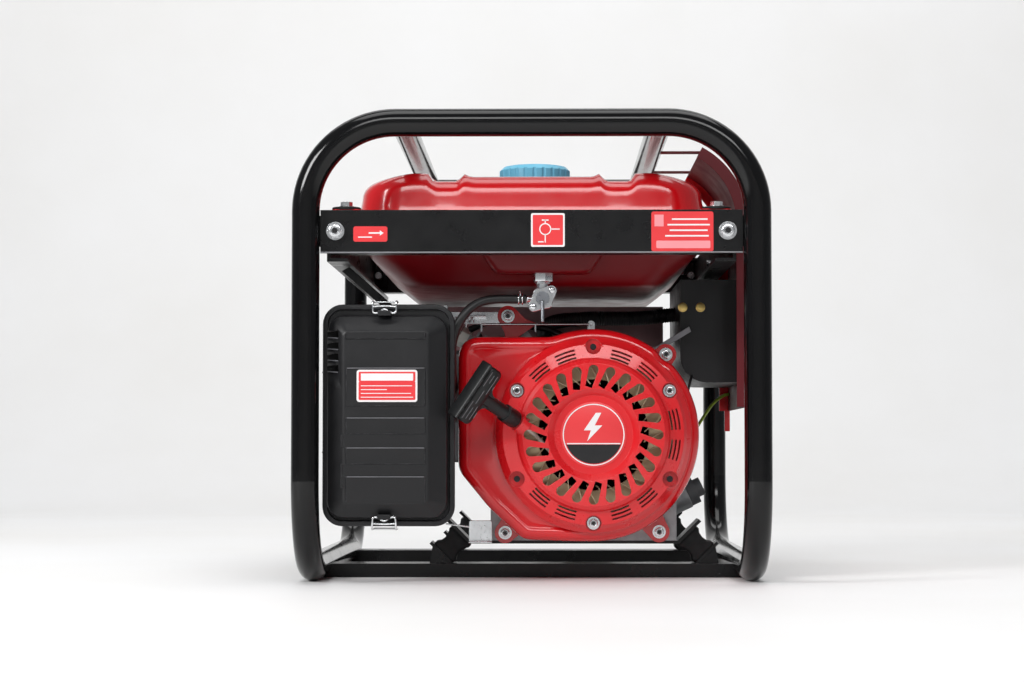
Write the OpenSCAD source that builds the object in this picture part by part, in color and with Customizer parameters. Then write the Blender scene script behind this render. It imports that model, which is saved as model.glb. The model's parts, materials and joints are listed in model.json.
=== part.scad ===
// Open-frame portable petrol generator set of the 2 kW class.
// X runs to the right seen from the recoil starter, Y from the starter to the
// rear of the set, Z up. The origin is on the floor under the middle of the frame.

/* [Tube frame] */
// Width over the frame tubes
frame_w = 430; // [428:1:440]
// Length over the frame tubes
frame_l = 590; // [588:1:600]
// Height over the frame tubes
frame_h = 427; // [427:1:432]
// Outside diameter of the frame tube
tube_d = 25; // [24:0.5:25]
// Wall of the frame tube
tube_wall = 1.5; // [1.2:0.1:2]
// Bend radius of the hoops' top corners, at the tube's middle
top_bend_r = 80; // [75:1:80]
// Bend radius where a leg turns into a floor rail
foot_bend_r = 80; // [75:1:85]
// Diameter of the two long top rails
top_rail_d = 22; // [20:1:22]
// Distance of a top rail from the middle
top_rail_x = 116; // [112:1:118]

/* [Tank] */
// Width of the tank's pressed shells
tank_w = 324; // [306:1:324]
// Length of the tank's pressed shells
tank_l = 470; // [462:1:474]
// Height of the tank's seam flange
seam_z = 336; // [335.5:0.5:337]
// Height of the tank's top
tank_top_z = 376; // [374:1:378]
// Sheet thickness of the tank
tank_wall = 1.5; // [1.2:0.1:2]
// Diameter of the filler cap
cap_d = 70; // [66:1:70]

/* [Engine] */
// Crankshaft axis, to the right of the middle
shaft_x = 56.5; // [56:0.5:57]
// Crankshaft axis above the floor
shaft_z = 134.5; // [134:0.5:135]
// Cylinder bore
bore_d = 68; // [66:1:70]
// Lean of the cylinder above the horizontal
cyl_tilt = 25; // [24:0.5:26]
// Radius of the fan housing's round part
housing_r = 98; // [96:1:98]
// Radius of the recoil cover's rim
recoil_r = 90; // [88:1:90]
// Number of air slots in the recoil cover's face
face_slots = 24; // [20:1:26]

/* [Air cleaner] */
// Width of the air cleaner case over its rim
cleaner_w = 119.5; // [117:0.5:119.5]
// Height of the air cleaner case over its rim
cleaner_h = 200; // [196:1:202]

/* [Alternator] */
// Diameter of the stator's lamination stack
stator_d = 156; // [150:1:158]
// Length of the stator's lamination stack
stator_l = 125; // [115:1:125]

/* [Hidden] */
$fn = 48;

// Frame
tube_r = tube_d / 2;
leg_x = frame_w / 2 - tube_r;
hoop_y = frame_l / 2 - tube_r;
top_z = frame_h - tube_r;
corner_x = leg_x - top_bend_r;
corner_z = top_z - top_bend_r;
foot_y = hoop_y - foot_bend_r;
foot_z = tube_r + foot_bend_r;

// Tank rails and the brackets that carry them
rail_low_z = 297;
rail_top_z = seam_z;
rail_web_y = hoop_y - 1.5;
rail_t = 2;
rail_deep = 23;
rail_bolt_x = 176;
rail_bolt_z = 317;
tank_bolt_x = 167;
tank_bolt_y = 268;
side_rail_x = 184;

// Floor crossbars, rubber mounts and the feet they carry
bar_front_y = -125;
bar_rear_y = 182;
bar_w = 40;
bar_h = 13;
bar_wall = 2;
mount_mid_x = 39.5;
mount_out_x = 115.5;
mount_z = 31;
mount_l = 26;
mount_t = 24;
mount_deep = 30;
foot_plate_t = 3;
foot_plate_z = 32;
ground_hole_x = 165;
ground_hole_r = 4.5;

// Tank
tank_y0 = -238;
tank_y1 = tank_y0 + tank_l;
seam_t = 1.2;
neck_x = 2;
neck_y = -50;
neck_r = 26;
neck_top_z = 386;
cap_low_z = neck_top_z + 2;
cap_top_z = 402;
tap_x = 10;
tap_y = -228;
tap_z = 259;
tap_face_y = -238;
sump_z = 282;

// Engine planes along Y
recoil_y = -215;
housing_back_y = -150;
case_front_y = -149;
case_back_y = -45;
cover_back_y = -15;
cyl_y = -97;
case_r = 82;
base_z = foot_plate_z + foot_plate_t;
deck_t = 112;
head_t = 34;
plug_off = 34;
reel_r = 38;
rope_r = 1.8;
bearing_r = 26;
journal_r = 12.5;
web_r = 43;
web_t = 16;
web_gap = 9;
wrist_pin_at = 80;
shaft_nose_y = -183;
shaft_tail_y = 22;
rear_bearing_r = 20;
rotor_shaft_r = 8.5;
bell_back_y = 207;

// Pull handle: where it rests and the way it is pulled
handle_at = [-50, -277, 171.5];
pull_dir = [-0.617, -0.669, 0.416];
bar_dir = [0.56, 0, 0.83];
pull_len = 61;
rope_exit = handle_at - pull_len * pull_dir;
rope_inner = [2, -229, 135];

// Air cleaner
cleaner_x0 = -188.5;
cleaner_z0 = 52;
flange_y = -265;
clip_x = -132;
clip_y = flange_y - 11.5;
clip_z = [cleaner_z0 + 8.5, cleaner_z0 + cleaner_h - 8.5];
clip_r = 1.1;

// Exhaust
muffler_mid = [-105, 125, 180];
muffler_y0 = muffler_mid[1] - 100;
exhaust_at = [-70, 189];

// Control panel section, from its lower edge up and over
panel_x = 203;
panel_low_z = 161;
panel_r = panel_x - corner_x;
panel_top = [corner_x, corner_z] + panel_r * [cos(62), sin(62)];
panel_y0 = -175;
panel_y1 = 60;
panel_t = 1.5;

black = "#1d1d1f";
red = "#c8202a";
zinc = "#b9bdc0";
alloy = "#a9abac";
steel = "#8e9296";
rubber = "#2a2a2b";

// Shapes that several parts use

// Stands its child on the crankshaft axis with Z towards the starter end
module on_shaft(y) {
    translate([shaft_x, y, shaft_z]) rotate([90, 0, 0]) children();
}

// Stands its child on the cylinder's axis, t from the crankshaft, Z outwards
module on_cylinder(t) {
    translate([shaft_x, cyl_y, shaft_z]) rotate([0, cyl_tilt - 90, 0]) translate([0, 0, t])
        children();
}

// Extrudes an X-Z outline from y0 to y1
module along_y(y0, y1) {
    translate([0, y1, 0]) rotate([90, 0, 0]) linear_extrude(y1 - y0) children();
}

// Extrudes a Y-Z outline from x0 to x1
module along_x(x0, x1) {
    translate([x0, 0, 0]) rotate([90, 0, 90]) linear_extrude(x1 - x0) children();
}

// Points its child's Z from p to q
module aim(p, q) {
    v = q - p;
    translate(p) rotate([0, acos(v[2] / norm(v)), atan2(v[1], v[0])]) children();
}

module rod(p, q, r) {
    aim(p, q) cylinder(h = norm(q - p), r = r);
}

module pipe(p, q, r, wall) {
    aim(p, q) linear_extrude(norm(q - p)) ring(r, r - wall);
}

module ring(r_out, r_in) {
    difference() {
        circle(r = r_out);
        circle(r = r_in);
    }
}

module block(x0, x1, y0, y1, z0, z1) {
    translate([x0, y0, z0]) cube([x1 - x0, y1 - y0, z1 - z0]);
}

// Rectangle from a to b with corners of radius r
module round_rect(a, b, r) {
    translate([a[0] + r, a[1]]) square([b[0] - a[0] - 2 * r, b[1] - a[1]]);
    translate([a[0], a[1] + r]) square([b[0] - a[0], b[1] - a[1] - 2 * r]);
    for (x = [a[0] + r, b[0] - r], y = [a[1] + r, b[1] - r]) translate([x, y]) circle(r = r);
}

// Arch whose foot is square and whose two top corners are round
module arch(half_w, z0, z1, r) {
    translate([-half_w, z0]) square([2 * half_w, z1 - r - z0]);
    translate([r - half_w, z0]) square([2 * half_w - 2 * r, z1 - z0]);
    for (s = [-1, 1]) translate([s * (half_w - r), z1 - r]) circle(r = r);
}

// Flanged hex bolt head with a stub of shank, Z from the seat to the head
module hex_bolt(size, shank) {
    cylinder(h = size * 0.2, r = size * 1.05);
    translate([0, 0, size * 0.2]) cylinder(h = size * 0.6, r = size * 0.85, $fn = 6);
    translate([0, 0, -shank]) cylinder(h = shank, r = size / 2);
}

// Round tube along a list of points, as one closed mesh
function unit(v) = v / norm(v);
function run_of(p, i) = unit(p[min(i + 1, len(p) - 1)] - p[max(i - 1, 0)]);
function square_to(n, t) = unit(n - (n * t) * t);
function side_of(t) = abs(t[2]) < 0.9 ? [0, 0, 1] : [1, 0, 0];
function sides_along(p) = [for (i = 0, n = square_to(side_of(run_of(p, 0)), run_of(p, 0));
    i < len(p);
    i = i + 1, n = i < len(p) ? square_to(n, run_of(p, i)) : n) n];
module swept_tube(p, r, sides) {
    n = sides_along(p);
    rings = [for (i = [0 : len(p) - 1], k = [0 : sides - 1])
        let (c = cross(run_of(p, i), n[i]), a = 360 * k / sides)
        p[i] + r * (cos(a) * n[i] + sin(a) * c)];
    last = (len(p) - 1) * sides;
    skin = [for (i = [0 : len(p) - 2], k = [0 : sides - 1])
        [i * sides + k, (i + 1) * sides + k,
         (i + 1) * sides + (k + 1) % sides, i * sides + (k + 1) % sides]];
    ends = [[for (k = [0 : sides - 1]) k], [for (k = [sides - 1 : -1 : 0]) last + k]];
    polyhedron(rings, concat(skin, ends));
}

// Tube frame

// One half of the frame: a hoop, its two bent feet and half of each floor rail
module half_frame() {
    pipe([-corner_x, -hoop_y, top_z], [corner_x, -hoop_y, top_z], tube_r, tube_wall);
    for (s = [0, 1]) mirror([s, 0, 0]) {
        translate([corner_x, -hoop_y, corner_z]) rotate([90, 0, 0])
            rotate_extrude(angle = 90) translate([top_bend_r, 0]) ring(tube_r, tube_r - tube_wall);
        pipe([leg_x, -hoop_y, foot_z], [leg_x, -hoop_y, corner_z], tube_r, tube_wall);
        translate([leg_x, -foot_y, foot_z]) rotate([90, 0, 90]) rotate([0, 0, 180])
            rotate_extrude(angle = 90) translate([foot_bend_r, 0]) ring(tube_r, tube_r - tube_wall);
        pipe([leg_x, -foot_y, tube_r], [leg_x, 0, tube_r], tube_r, tube_wall);
        rail_tab();
    }
}

// Plate welded to the right leg, that a tank rail is bolted to
module rail_tab() {
    tab_y = -rail_web_y + rail_t;
    difference() {
        block(rail_bolt_x - 10, leg_x - tube_r + 1.95, tab_y, tab_y + 3, rail_bolt_z - 14,
            rail_bolt_z + 14);
        rod([rail_bolt_x, tab_y - 5, rail_bolt_z], [rail_bolt_x, tab_y + 5, rail_bolt_z], 4.1);
    }
}

module front_hoop() {
    color(black) half_frame();
}

module rear_hoop() {
    color(black) mirror([0, 1, 0]) half_frame();
}

module top_rails() {
    color(black) for (s = [-1, 1]) difference() {
        pipe([s * top_rail_x, -hoop_y, top_z], [s * top_rail_x, hoop_y, top_z],
            top_rail_d / 2, tube_wall);
        for (e = [-1, 1]) rod([-leg_x, e * hoop_y, top_z], [leg_x, e * hoop_y, top_z], tube_r);
    }
}

// Crossbar of upturned-channel section with a sloping seat at each end
module floor_crossbars() {
    color(black) for (y = [bar_front_y, bar_rear_y]) {
        difference() {
            block(4 - leg_x, leg_x - 4, y - bar_w / 2, y + bar_w / 2, 0, bar_h);
            block(-leg_x + 22, leg_x - 22, y - bar_w / 2 + bar_wall, y + bar_w / 2 - bar_wall,
                bar_wall, bar_h - bar_wall);
            for (s = [-1, 1]) {
                rod([s * leg_x, -foot_y, tube_r], [s * leg_x, foot_y, tube_r], tube_r);
                translate([s * ground_hole_x, y, -1]) cylinder(h = bar_h + 2, r = ground_hole_r);
            }
        }
        for (s = [-1, 1]) translate([mount_mid_x, y, 0]) mirror([s < 0 ? 0 : 1, 0, 0])
            mount_seat();
    }
}

// Sloping plate under the left rubber mount, on two cheeks
module mount_seat() {
    translate([-mount_out_x, 0, mount_z]) rotate([0, 45, 0])
        translate([-16, -mount_deep / 2, -mount_t / 2 - foot_plate_t])
            cube([32, mount_deep, foot_plate_t]);
    for (y = [-mount_deep / 2 + 1, mount_deep / 2 - 4]) translate([-mount_out_x, 0, 0])
        along_y(y, y + 3) polygon([[-22, bar_h - 1], [-2, bar_h - 1], [-19, 29]]);
}

// Two channels across the frame under the tank and two angles along its sides
module tank_rails() {
    color(black) {
        for (s = [0, 1]) mirror([0, s, 0]) cross_rail();
        for (s = [0, 1]) mirror([s, 0, 0]) side_rail();
    }
}

module cross_rail() {
    half = leg_x - tube_r - 0.5;
    low = rail_low_z;
    difference() {
        union() {
            block(-half, half, -rail_web_y, -rail_web_y + rail_t, low, rail_top_z);
            for (z = [low, rail_top_z - rail_t])
                block(-183, 183, -rail_web_y, -rail_web_y + rail_deep, z, z + rail_t);
        }
        for (s = [-1, 1]) {
            rod([s * rail_bolt_x, -rail_web_y - 5, rail_bolt_z],
                [s * rail_bolt_x, -rail_web_y + 5, rail_bolt_z], 4.1);
            translate([s * tank_bolt_x, -tank_bolt_y, rail_top_z - 10]) cylinder(h = 20, r = 3.3);
        }
    }
}

module side_rail() {
    y1 = rail_web_y - rail_t - 3.5;
    difference() {
        along_y(-y1, y1) polygon([[side_rail_x, 290], [side_rail_x, 334],
            [side_rail_x - 3, 334], [side_rail_x - 3, 293], [side_rail_x - 19, 293],
            [side_rail_x - 19, 290]]);
        for (y = [panel_y0 + 25, panel_y1 - 25])
            rod([side_rail_x - 10, y, 312], [side_rail_x + 10, y, 312], 3.3);
    }
}

module frame_bolts() {
    color(zinc) {
        for (s = [0, 1]) mirror([0, s, 0]) for (x = [-rail_bolt_x, rail_bolt_x])
            translate([x, -rail_web_y, rail_bolt_z]) rotate([90, 0, 0]) hex_bolt(7.8, 14);
        for (y = [panel_y0 + 25, panel_y1 - 25])
            translate([panel_x, y, 312]) rotate([0, 90, 0]) {
                hex_bolt(6, 25);
                translate([0, 0, side_rail_x - panel_x])
                    cylinder(h = panel_x - panel_t - side_rail_x, r = 6);
            }
    }
}

// Supports of the engine and the alternator

module rubber_mounts() {
    color(rubber) for (y = [bar_front_y, bar_rear_y], s = [-1, 1])
        translate([mount_mid_x + s * mount_out_x, y, mount_z]) rotate([0, -s * 45, 0])
            difference() {
                cube([mount_l, mount_deep, mount_t], center = true);
                for (e = [-1, 1]) translate([e * (mount_l / 2 + 3), 0, 0]) rotate([90, 0, 0])
                    cylinder(h = mount_deep + 2, r = 5, center = true);
            }
}

// Bent plates that stand on the rubber mounts, and the alternator's saddle
module support_feet() {
    color(black) {
        foot_plate(bar_front_y, 21);
        block(-38, 117, bar_front_y + 20, -48, foot_plate_z, base_z);
        foot_plate(bar_rear_y, 15);
        difference() {
            block(shaft_x - 26, shaft_x + 26, bar_rear_y - 10, bar_rear_y + 10, foot_plate_z + 1, 62);
            on_shaft(bar_rear_y + 20) cylinder(h = 40, r = bell_r + 0.01);
        }
    }
}

module foot_plate(y, half_deep) {
    top = foot_plate_z + foot_plate_t;
    edge = mount_out_x + foot_plate_z - mount_z - mount_t / sqrt(2);
    difference() {
        along_y(y - half_deep, y + half_deep) polygon([
            [mount_mid_x - edge, foot_plate_z], [mount_mid_x + edge, foot_plate_z],
            [mount_mid_x + edge + 21, foot_plate_z + 21],
            [mount_mid_x + edge + 21 - 2.12, foot_plate_z + 21 + 2.12],
            [mount_mid_x + edge - 1.24, top], [mount_mid_x - edge + 1.24, top],
            [mount_mid_x - edge - 21 + 2.12, foot_plate_z + 21 + 2.12],
            [mount_mid_x - edge - 21, foot_plate_z + 21]]);
        for (s = [-1, 1]) translate([mount_mid_x + s * 60, y, foot_plate_z - 1])
            cylinder(h = foot_plate_t + 2, r = 4.2);
    }
}

// Tank

// Closed form of the upper pressing, g larger on every side
module upper_form(g) {
    intersection() {
        along_y(tank_y0 - g, tank_y1 + g) arch(tank_w / 2 + g, seam_z, tank_top_z + g, 26 + g);
        along_x(-tank_w / 2 - g, tank_w / 2 + g) translate([(tank_y0 + tank_y1) / 2, 0])
            arch(tank_l / 2 + g, seam_z, tank_top_z + g, 26 + g);
        translate([0, 0, seam_z]) linear_extrude(60) plan_form(g);
    }
}

module plan_form(g) {
    round_rect([-tank_w / 2 - g, tank_y0 - g], [tank_w / 2 + g, tank_y1 + g], 42 + g);
}

module groove_form(g) {
    for (s = [-1, 1]) translate([s * 89, 0, 0]) along_y(tank_y0 - 5, tank_y1 + 5)
        polygon([[-13 + g, tank_top_z + 5], [-9 + g, tank_top_z - 5 + g],
            [9 - g, tank_top_z - 5 + g], [13 - g, tank_top_z + 5]]);
}

// Flange that joins the two pressings
module seam_flange(z) {
    translate([0, 0, z]) linear_extrude(seam_t)
        round_rect([-tank_w / 2 - 8, tank_y0 - 8], [tank_w / 2 + 8, tank_y1 + 8], 50);
}

// Lug over each end of a rail, that a tank bolt holds down
module tank_lugs() {
    x = tank_bolt_x - 1;
    for (s = [-1, 1], e = [-1, 1]) {
        shell_y = e < 0 ? tank_y0 : tank_y1;
        block(s * x - 14, s * x + 14, min(shell_y - 45 * e, e * (tank_bolt_y + 10)),
            max(shell_y - 45 * e, e * (tank_bolt_y + 10)), seam_z, seam_z + seam_t);
    }
}

module tank_upper_shell() {
    color(red) difference() {
        union() {
            difference() {
                upper_form(0);
                groove_form(0);
            }
            seam_flange(seam_z);
            tank_lugs();
        }
        difference() {
            translate([0, 0, -0.01]) upper_form(-tank_wall);
            groove_form(-tank_wall);
        }
        translate([0, 0, seam_z - 10]) linear_extrude(12) plan_form(-tank_wall);
        translate([neck_x, neck_y, seam_z + 5]) cylinder(h = 60, r = neck_r - 3);
        for (x = [-tank_bolt_x, tank_bolt_x], y = [-tank_bolt_y, tank_bolt_y])
            translate([x, y, seam_z]) cylinder(h = 10, r = 3.3);
    }
}

// Closed form of the lower pressing, g larger on every side
module lower_form(g) {
    half = tank_w / 2 - 5 + g;
    intersection() {
        along_y(tank_y0 - g, tank_y1 + g) polygon([[-half, seam_z], [-half, 306 - g],
            [-112, 272 - g], [112, 272 - g], [half, 306 - g], [half, seam_z]]);
        along_x(-half, half) polygon([[tank_y0 + 3 - g, seam_z], [tank_y0 + 3 - g, 300 - g],
            [tank_y0 + 30, 272 - g], [tank_y1 - 30, 272 - g], [tank_y1 - 3 + g, 300 - g],
            [tank_y1 - 3 + g, seam_z]]);
        translate([0, 0, 250]) linear_extrude(seam_z - 250) plan_form(g - 3);
    }
    // sump above the tap
    along_y(tank_y0 - 6 - g, tank_y0 + 60 + g) polygon([[-52 - g, 312], [-34 - g, sump_z - g],
        [54 + g, sump_z - g], [72 + g, 312]]);
}

module tank_lower_shell() {
    color(red) difference() {
        union() {
            lower_form(0);
            seam_flange(seam_z - seam_t);
        }
        lower_form(-tank_wall);
        translate([0, 0, seam_z - 6]) linear_extrude(10) plan_form(-4.5);
        translate([tap_x, tap_y, sump_z - 5]) cylinder(h = 20, r = 6.2);
    }
}

module tank_bolts() {
    color(zinc) for (x = [-tank_bolt_x, tank_bolt_x], y = [-tank_bolt_y, tank_bolt_y])
        translate([x, y, seam_z + seam_t]) {
            difference() {
                cylinder(h = 2, r = 11);
                translate([0, 0, -1]) cylinder(h = 4, r = 3.3);
            }
            translate([0, 0, 2]) hex_bolt(6.4, 22);
        }
}

module filler_neck() {
    z0 = tank_top_z + 0.01;
    color(zinc) translate([neck_x, neck_y, 0]) rotate_extrude() polygon([
        [neck_r - 4.5, tank_top_z - 12], [neck_r - 3.2, tank_top_z - 12],
        [neck_r - 3.2, z0], [neck_r + 4, z0], [neck_r + 4, z0 + 1.5], [neck_r, z0 + 1.5],
        [neck_r, neck_top_z - 1.5], [neck_r + 2, neck_top_z], [neck_r - 4.5, neck_top_z]]);
}

module fuel_strainer() {
    color("#d9d9d2") translate([neck_x, neck_y, 0]) difference() {
        union() {
            translate([0, 0, 318]) cylinder(h = 48, r = neck_r - 6);
            translate([0, 0, 366]) cylinder(h = neck_top_z - 370, r = neck_r - 5.2);
        }
        translate([0, 0, 319.2]) cylinder(h = 80, r = neck_r - 7.2);
        for (a = [0 : 30 : 150]) rotate([0, 0, a]) for (z = [324 : 8 : 358])
            translate([-40, -2.5, z]) cube([80, 5, 5]);
    }
}

module cap_gasket() {
    color(rubber) translate([neck_x, neck_y, 0]) rotate_extrude() polygon([
        [neck_r - 5.5, neck_top_z + 0.1], [neck_r + 1.5, neck_top_z + 0.1],
        [neck_r + 1.5, neck_top_z + 1.9], [neck_r - 5.5, neck_top_z + 1.9]]);
}

module fuel_cap() {
    r = cap_d / 2;
    color("#58a9cf") translate([neck_x, neck_y, 0]) difference() {
        rotate_extrude() polygon([[0, cap_low_z + 0.2], [r - 5, cap_low_z + 0.2],
            [r - 5, tank_top_z + 3], [r, tank_top_z + 3], [r, cap_top_z - 5], [r - 4, cap_top_z - 1],
            [r - 9, cap_top_z], [0, cap_top_z]]);
        for (a = [0 : 15 : 345]) rotate([0, 0, a]) translate([r + 1.4, 0, tank_top_z])
            cylinder(h = 22, r = 2.4);
    }
}

// Tap under the tank's sump, with its plate towards the starter end
module fuel_tap() {
    color(zinc) {
        difference() {
            union() {
                translate([tap_x, tap_y, sump_z - 10]) cylinder(h = 9.9, r = 8.5, $fn = 6);
                translate([tap_x, tap_y, tap_z]) cylinder(h = 20, r = 5.5);
                translate([tap_x, tap_y, sump_z - 2]) cylinder(h = 14, r = 6);
                rod([tap_x, tap_y + 9, tap_z], [tap_x, tap_face_y + 3, tap_z], 9);
                rod([tap_x, tap_y, tap_z], [tap_x - 15, tap_y, tap_z], 2.9);
                along_y(tap_face_y, tap_face_y + 3) translate([tap_x, tap_z]) rotate(45) {
                    round_rect([-15, -6.5], [15, 6.5], 6.4);
                    circle(r = 11);
                }
            }
            rod([tap_x, tap_face_y - 1, tap_z], [tap_x, tap_face_y + 8, tap_z], 5.05);
        }
        for (s = [-1, 1]) translate([tap_x + s * 8.5, tap_face_y, tap_z + s * 8.5])
            rotate([90, 0, 0]) cylinder(h = 1.6, r = 2.4);
    }
}

module tap_lever() {
    color(steel) {
        rod([tap_x, tap_face_y + 7, tap_z], [tap_x, tap_face_y - 4, tap_z], 5);
        rod([tap_x, tap_face_y - 4, tap_z], [tap_x, tap_face_y - 6, tap_z], 6.2);
        rod([tap_x, tap_face_y - 5, tap_z - 3], [tap_x, tap_face_y - 7, tap_z - 22], 1.6);
    }
}

hose_route = [[-5.3, -228, 259], [-16, -228, 259], [-30, -229, 259], [-44, -232, 257],
    [-55, -236, 251], [-63, -239, 242], [-69, -240, 231], [-72.5, -240, 217], [-73, -238, 204],
    [-73, -232, 193], [-73, -222, 186], [-73, -210, 182], [-73, -199, 179], [-73.5, -190, 177],
    [-75, -184, 175.4], [-78, -181, 174.3]];

module fuel_hose() {
    color(rubber) swept_tube(hose_route, 4.2, 10);
}

// Engine

module case_outline(g) {
    circle(r = case_r + g);
    translate([-96 - g, base_z - shaft_z - g]) square([176 + 2 * g, 60 + g]);
}

module crankcase() {
    bore = bearing_r + 0.02;
    color(alloy) {
        difference() {
            union() {
                on_shaft(case_back_y) linear_extrude(case_back_y - case_front_y) case_outline(0);
                on_cylinder(60) cylinder(h = deck_t - 60, r = 44);
                for (t = [86 : 7 : deck_t - 4]) on_cylinder(t) cylinder(h = 2.5, r = 51);
                for (p = housing_bolts)
                    rod([p[0], case_front_y, p[1]], [p[0], case_front_y + 22, p[1]], 7.5);
                ear_web([126.5, 211], 45);
                ear_web([-23, 247.5], 128);
                rod([governor_x, -143, governor_z], [governor_x, -112, governor_z], 8);
                rod(dipstick_seat - 24 * dipstick_dir, dipstick_seat, 15);
            }
            on_shaft(case_back_y + 1) cylinder(h = case_back_y - case_front_y - 6, r = 64);
            on_shaft(case_back_y + 1) cylinder(h = 200, r = bore);
            on_cylinder(20) cylinder(h = 200, r = bore_d / 2 + 0.04);
            block(-30, 130, -142, case_back_y + 1, base_z + 8, 100);
            for (p = housing_bolts)
                rod([p[0], case_front_y - 1, p[1]], [p[0], case_front_y + 17, p[1]], 3.05);
            rod(dipstick_seat + dipstick_dir, dipstick_seat - 50 * dipstick_dir, 9.05);
            rod([governor_x, -150, governor_z], [governor_x, -120, governor_z], 3.05);
        }
        on_shaft(case_front_y + 15) linear_extrude(8.5) ring(34, bore);
    }
}

housing_bolts = [[-25.6, 42.6], [119.7, 43.5], [126.5, 211], [-23, 247.5]];
dipstick_seat = [150, -80, 79];
dipstick_dir = [0.906, 0, 0.423];

// Arm from the crankcase out to a fan housing bolt
module ear_web(p, turn) {
    along_y(case_front_y, case_front_y + 10) translate([p[0], p[1]]) rotate(turn + 180)
        translate([0, -6]) square([60, 12]);
}

module crankcase_cover() {
    color(alloy) difference() {
        union() {
            on_shaft(case_back_y + 6) linear_extrude(6) case_outline(-1);
            on_shaft(cover_back_y) cylinder(h = cover_back_y - case_back_y, r = 42);
            for (a = [45 : 90 : 315]) on_shaft(cover_back_y) rotate([0, 0, a])
                translate([62, 0, 0]) cylinder(h = cover_back_y - case_back_y, r = 8);
        }
        on_shaft(cover_back_y + 1) cylinder(h = 40, r = bearing_r + 0.02);
    }
}

module main_bearings() {
    color(steel) {
        for (y = [case_front_y + 15, case_back_y + 16])
            on_shaft(y) linear_extrude(15) ring(bearing_r, journal_r + 0.02);
        on_shaft(bell_back_y) linear_extrude(8) ring(rear_bearing_r, rotor_shaft_r + 0.02);
    }
}

module cylinder_head() {
    color(alloy) difference() {
        union() {
            on_cylinder(deck_t) translate([-38, -42, 0]) cube([76, 84, head_t]);
            for (t = [4 : 7 : head_t - 4]) on_cylinder(deck_t + t)
                translate([-44, -46, 0]) cube([88, 92, 2.5]);
        }
        on_cylinder(deck_t - 1) cylinder(h = 9, r = bore_d / 2);
        on_cylinder(deck_t + head_t) translate([plug_off, 0, -30])
            cylinder(h = 40, r = 6.05);
        on_cylinder(deck_t + 22) translate([-5, -60, 0]) rotate([-90, 0, 0]) cylinder(h = 120, r = 10);
    }
}

module valve_cover() {
    color(steel) on_cylinder(deck_t + head_t) difference() {
        union() {
            linear_extrude(20) round_rect([-38, -34], [16, 34], 12);
            linear_extrude(2) round_rect([-42, -38], [20, 38], 12);
        }
        translate([0, 0, -1]) linear_extrude(19.5) round_rect([-36.5, -32.5], [14.5, 32.5], 11);
    }
}

module piston() {
    color(alloy) on_cylinder(0) difference() {
        translate([0, 0, 62]) cylinder(h = 46, r = bore_d / 2 - 0.03);
        translate([0, 0, 61]) cylinder(h = 38, r = bore_d / 2 - 5);
        translate([0, 0, wrist_pin_at]) rotate([90, 0, 0]) cylinder(h = 80, r = 8.03, center = true);
        for (z = [96, 100.5, 105]) translate([0, 0, z]) linear_extrude(1.2)
            ring(bore_d / 2 + 1, bore_d / 2 - 2.5);
    }
}

// Rod at mid-stroke; it carries the crank pin, which stands clear between the webs
module connecting_rod() {
    color(steel) on_cylinder(0) {
        translate([0, 0, 22]) rotate([90, 0, 0]) cylinder(h = 16, r = 19, center = true);
        translate([0, 0, wrist_pin_at]) rotate([90, 0, 0]) cylinder(h = 16, r = 12, center = true);
        translate([-7, -5, 30]) cube([14, 10, 45]);
        translate([0, 0, wrist_pin_at]) rotate([90, 0, 0]) cylinder(h = 62, r = 8, center = true);
    }
}

// Two half shafts, each with its round web, held by a fixture in place of the pin
module crankshaft() {
    front_web_y = cyl_y - web_gap - web_t;
    color(steel) {
        on_shaft(cyl_y - web_gap) cylinder(h = web_t, r = web_r);
        on_shaft(front_web_y) cylinder(h = front_web_y - shaft_nose_y, r = journal_r);
        on_shaft(cyl_y + web_gap + web_t) cylinder(h = web_t, r = web_r);
        on_shaft(shaft_tail_y) cylinder(h = shaft_tail_y - cyl_y - web_gap - web_t, r = journal_r);
    }
}

module flywheel() {
    color(black) difference() {
        union() {
            on_shaft(-158) cylinder(h = 6, r = 82);
            on_shaft(-158) linear_extrude(26) ring(84, 66);
            on_shaft(-158) cylinder(h = 25, r = 24);
            on_shaft(-183) cylinder(h = 9, r = 12, $fn = 6);
            on_shaft(-183) linear_extrude(24) ring(34, 31.5);
            on_shaft(-183) linear_extrude(2) ring(34, 23);
        }
        on_shaft(-157) cylinder(h = 26.01, r = journal_r);
    }
}

// Ring of blades that draws air through the recoil cover
module cooling_fan() {
    blades = 20;
    color("#b3a37c") {
        on_shaft(-184.5) linear_extrude(2.5) ring(86, 45);
        on_shaft(-206) linear_extrude(3) ring(76, 60);
        on_shaft(-186.9) linear_extrude(19.2) for (k = [0 : blades - 1]) rotate(360 * k / blades)
            translate([46, 0]) rotate(38) square([36, 2]);
    }
}

// Outline of the fan housing, g larger all round
module housing_outline(g) {
    translate([shaft_x, shaft_z]) circle(r = housing_r + g);
    polygon([[-68 - g, 102 - 0.4 * g], [-40 - 0.7 * g, 68 - 0.7 * g], [-8 - 0.7 * g, 38 - 0.7 * g],
        [shaft_x, 36.5 - g], [shaft_x + 60, 120], [shaft_x, 225 + g], [-58, 225 + g], [-68 - g, 215]]);
}

// Outline of the open pocket around each housing bolt
module bolt_pockets(r) {
    for (p = housing_bolts) translate(p) circle(r = r);
}

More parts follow.
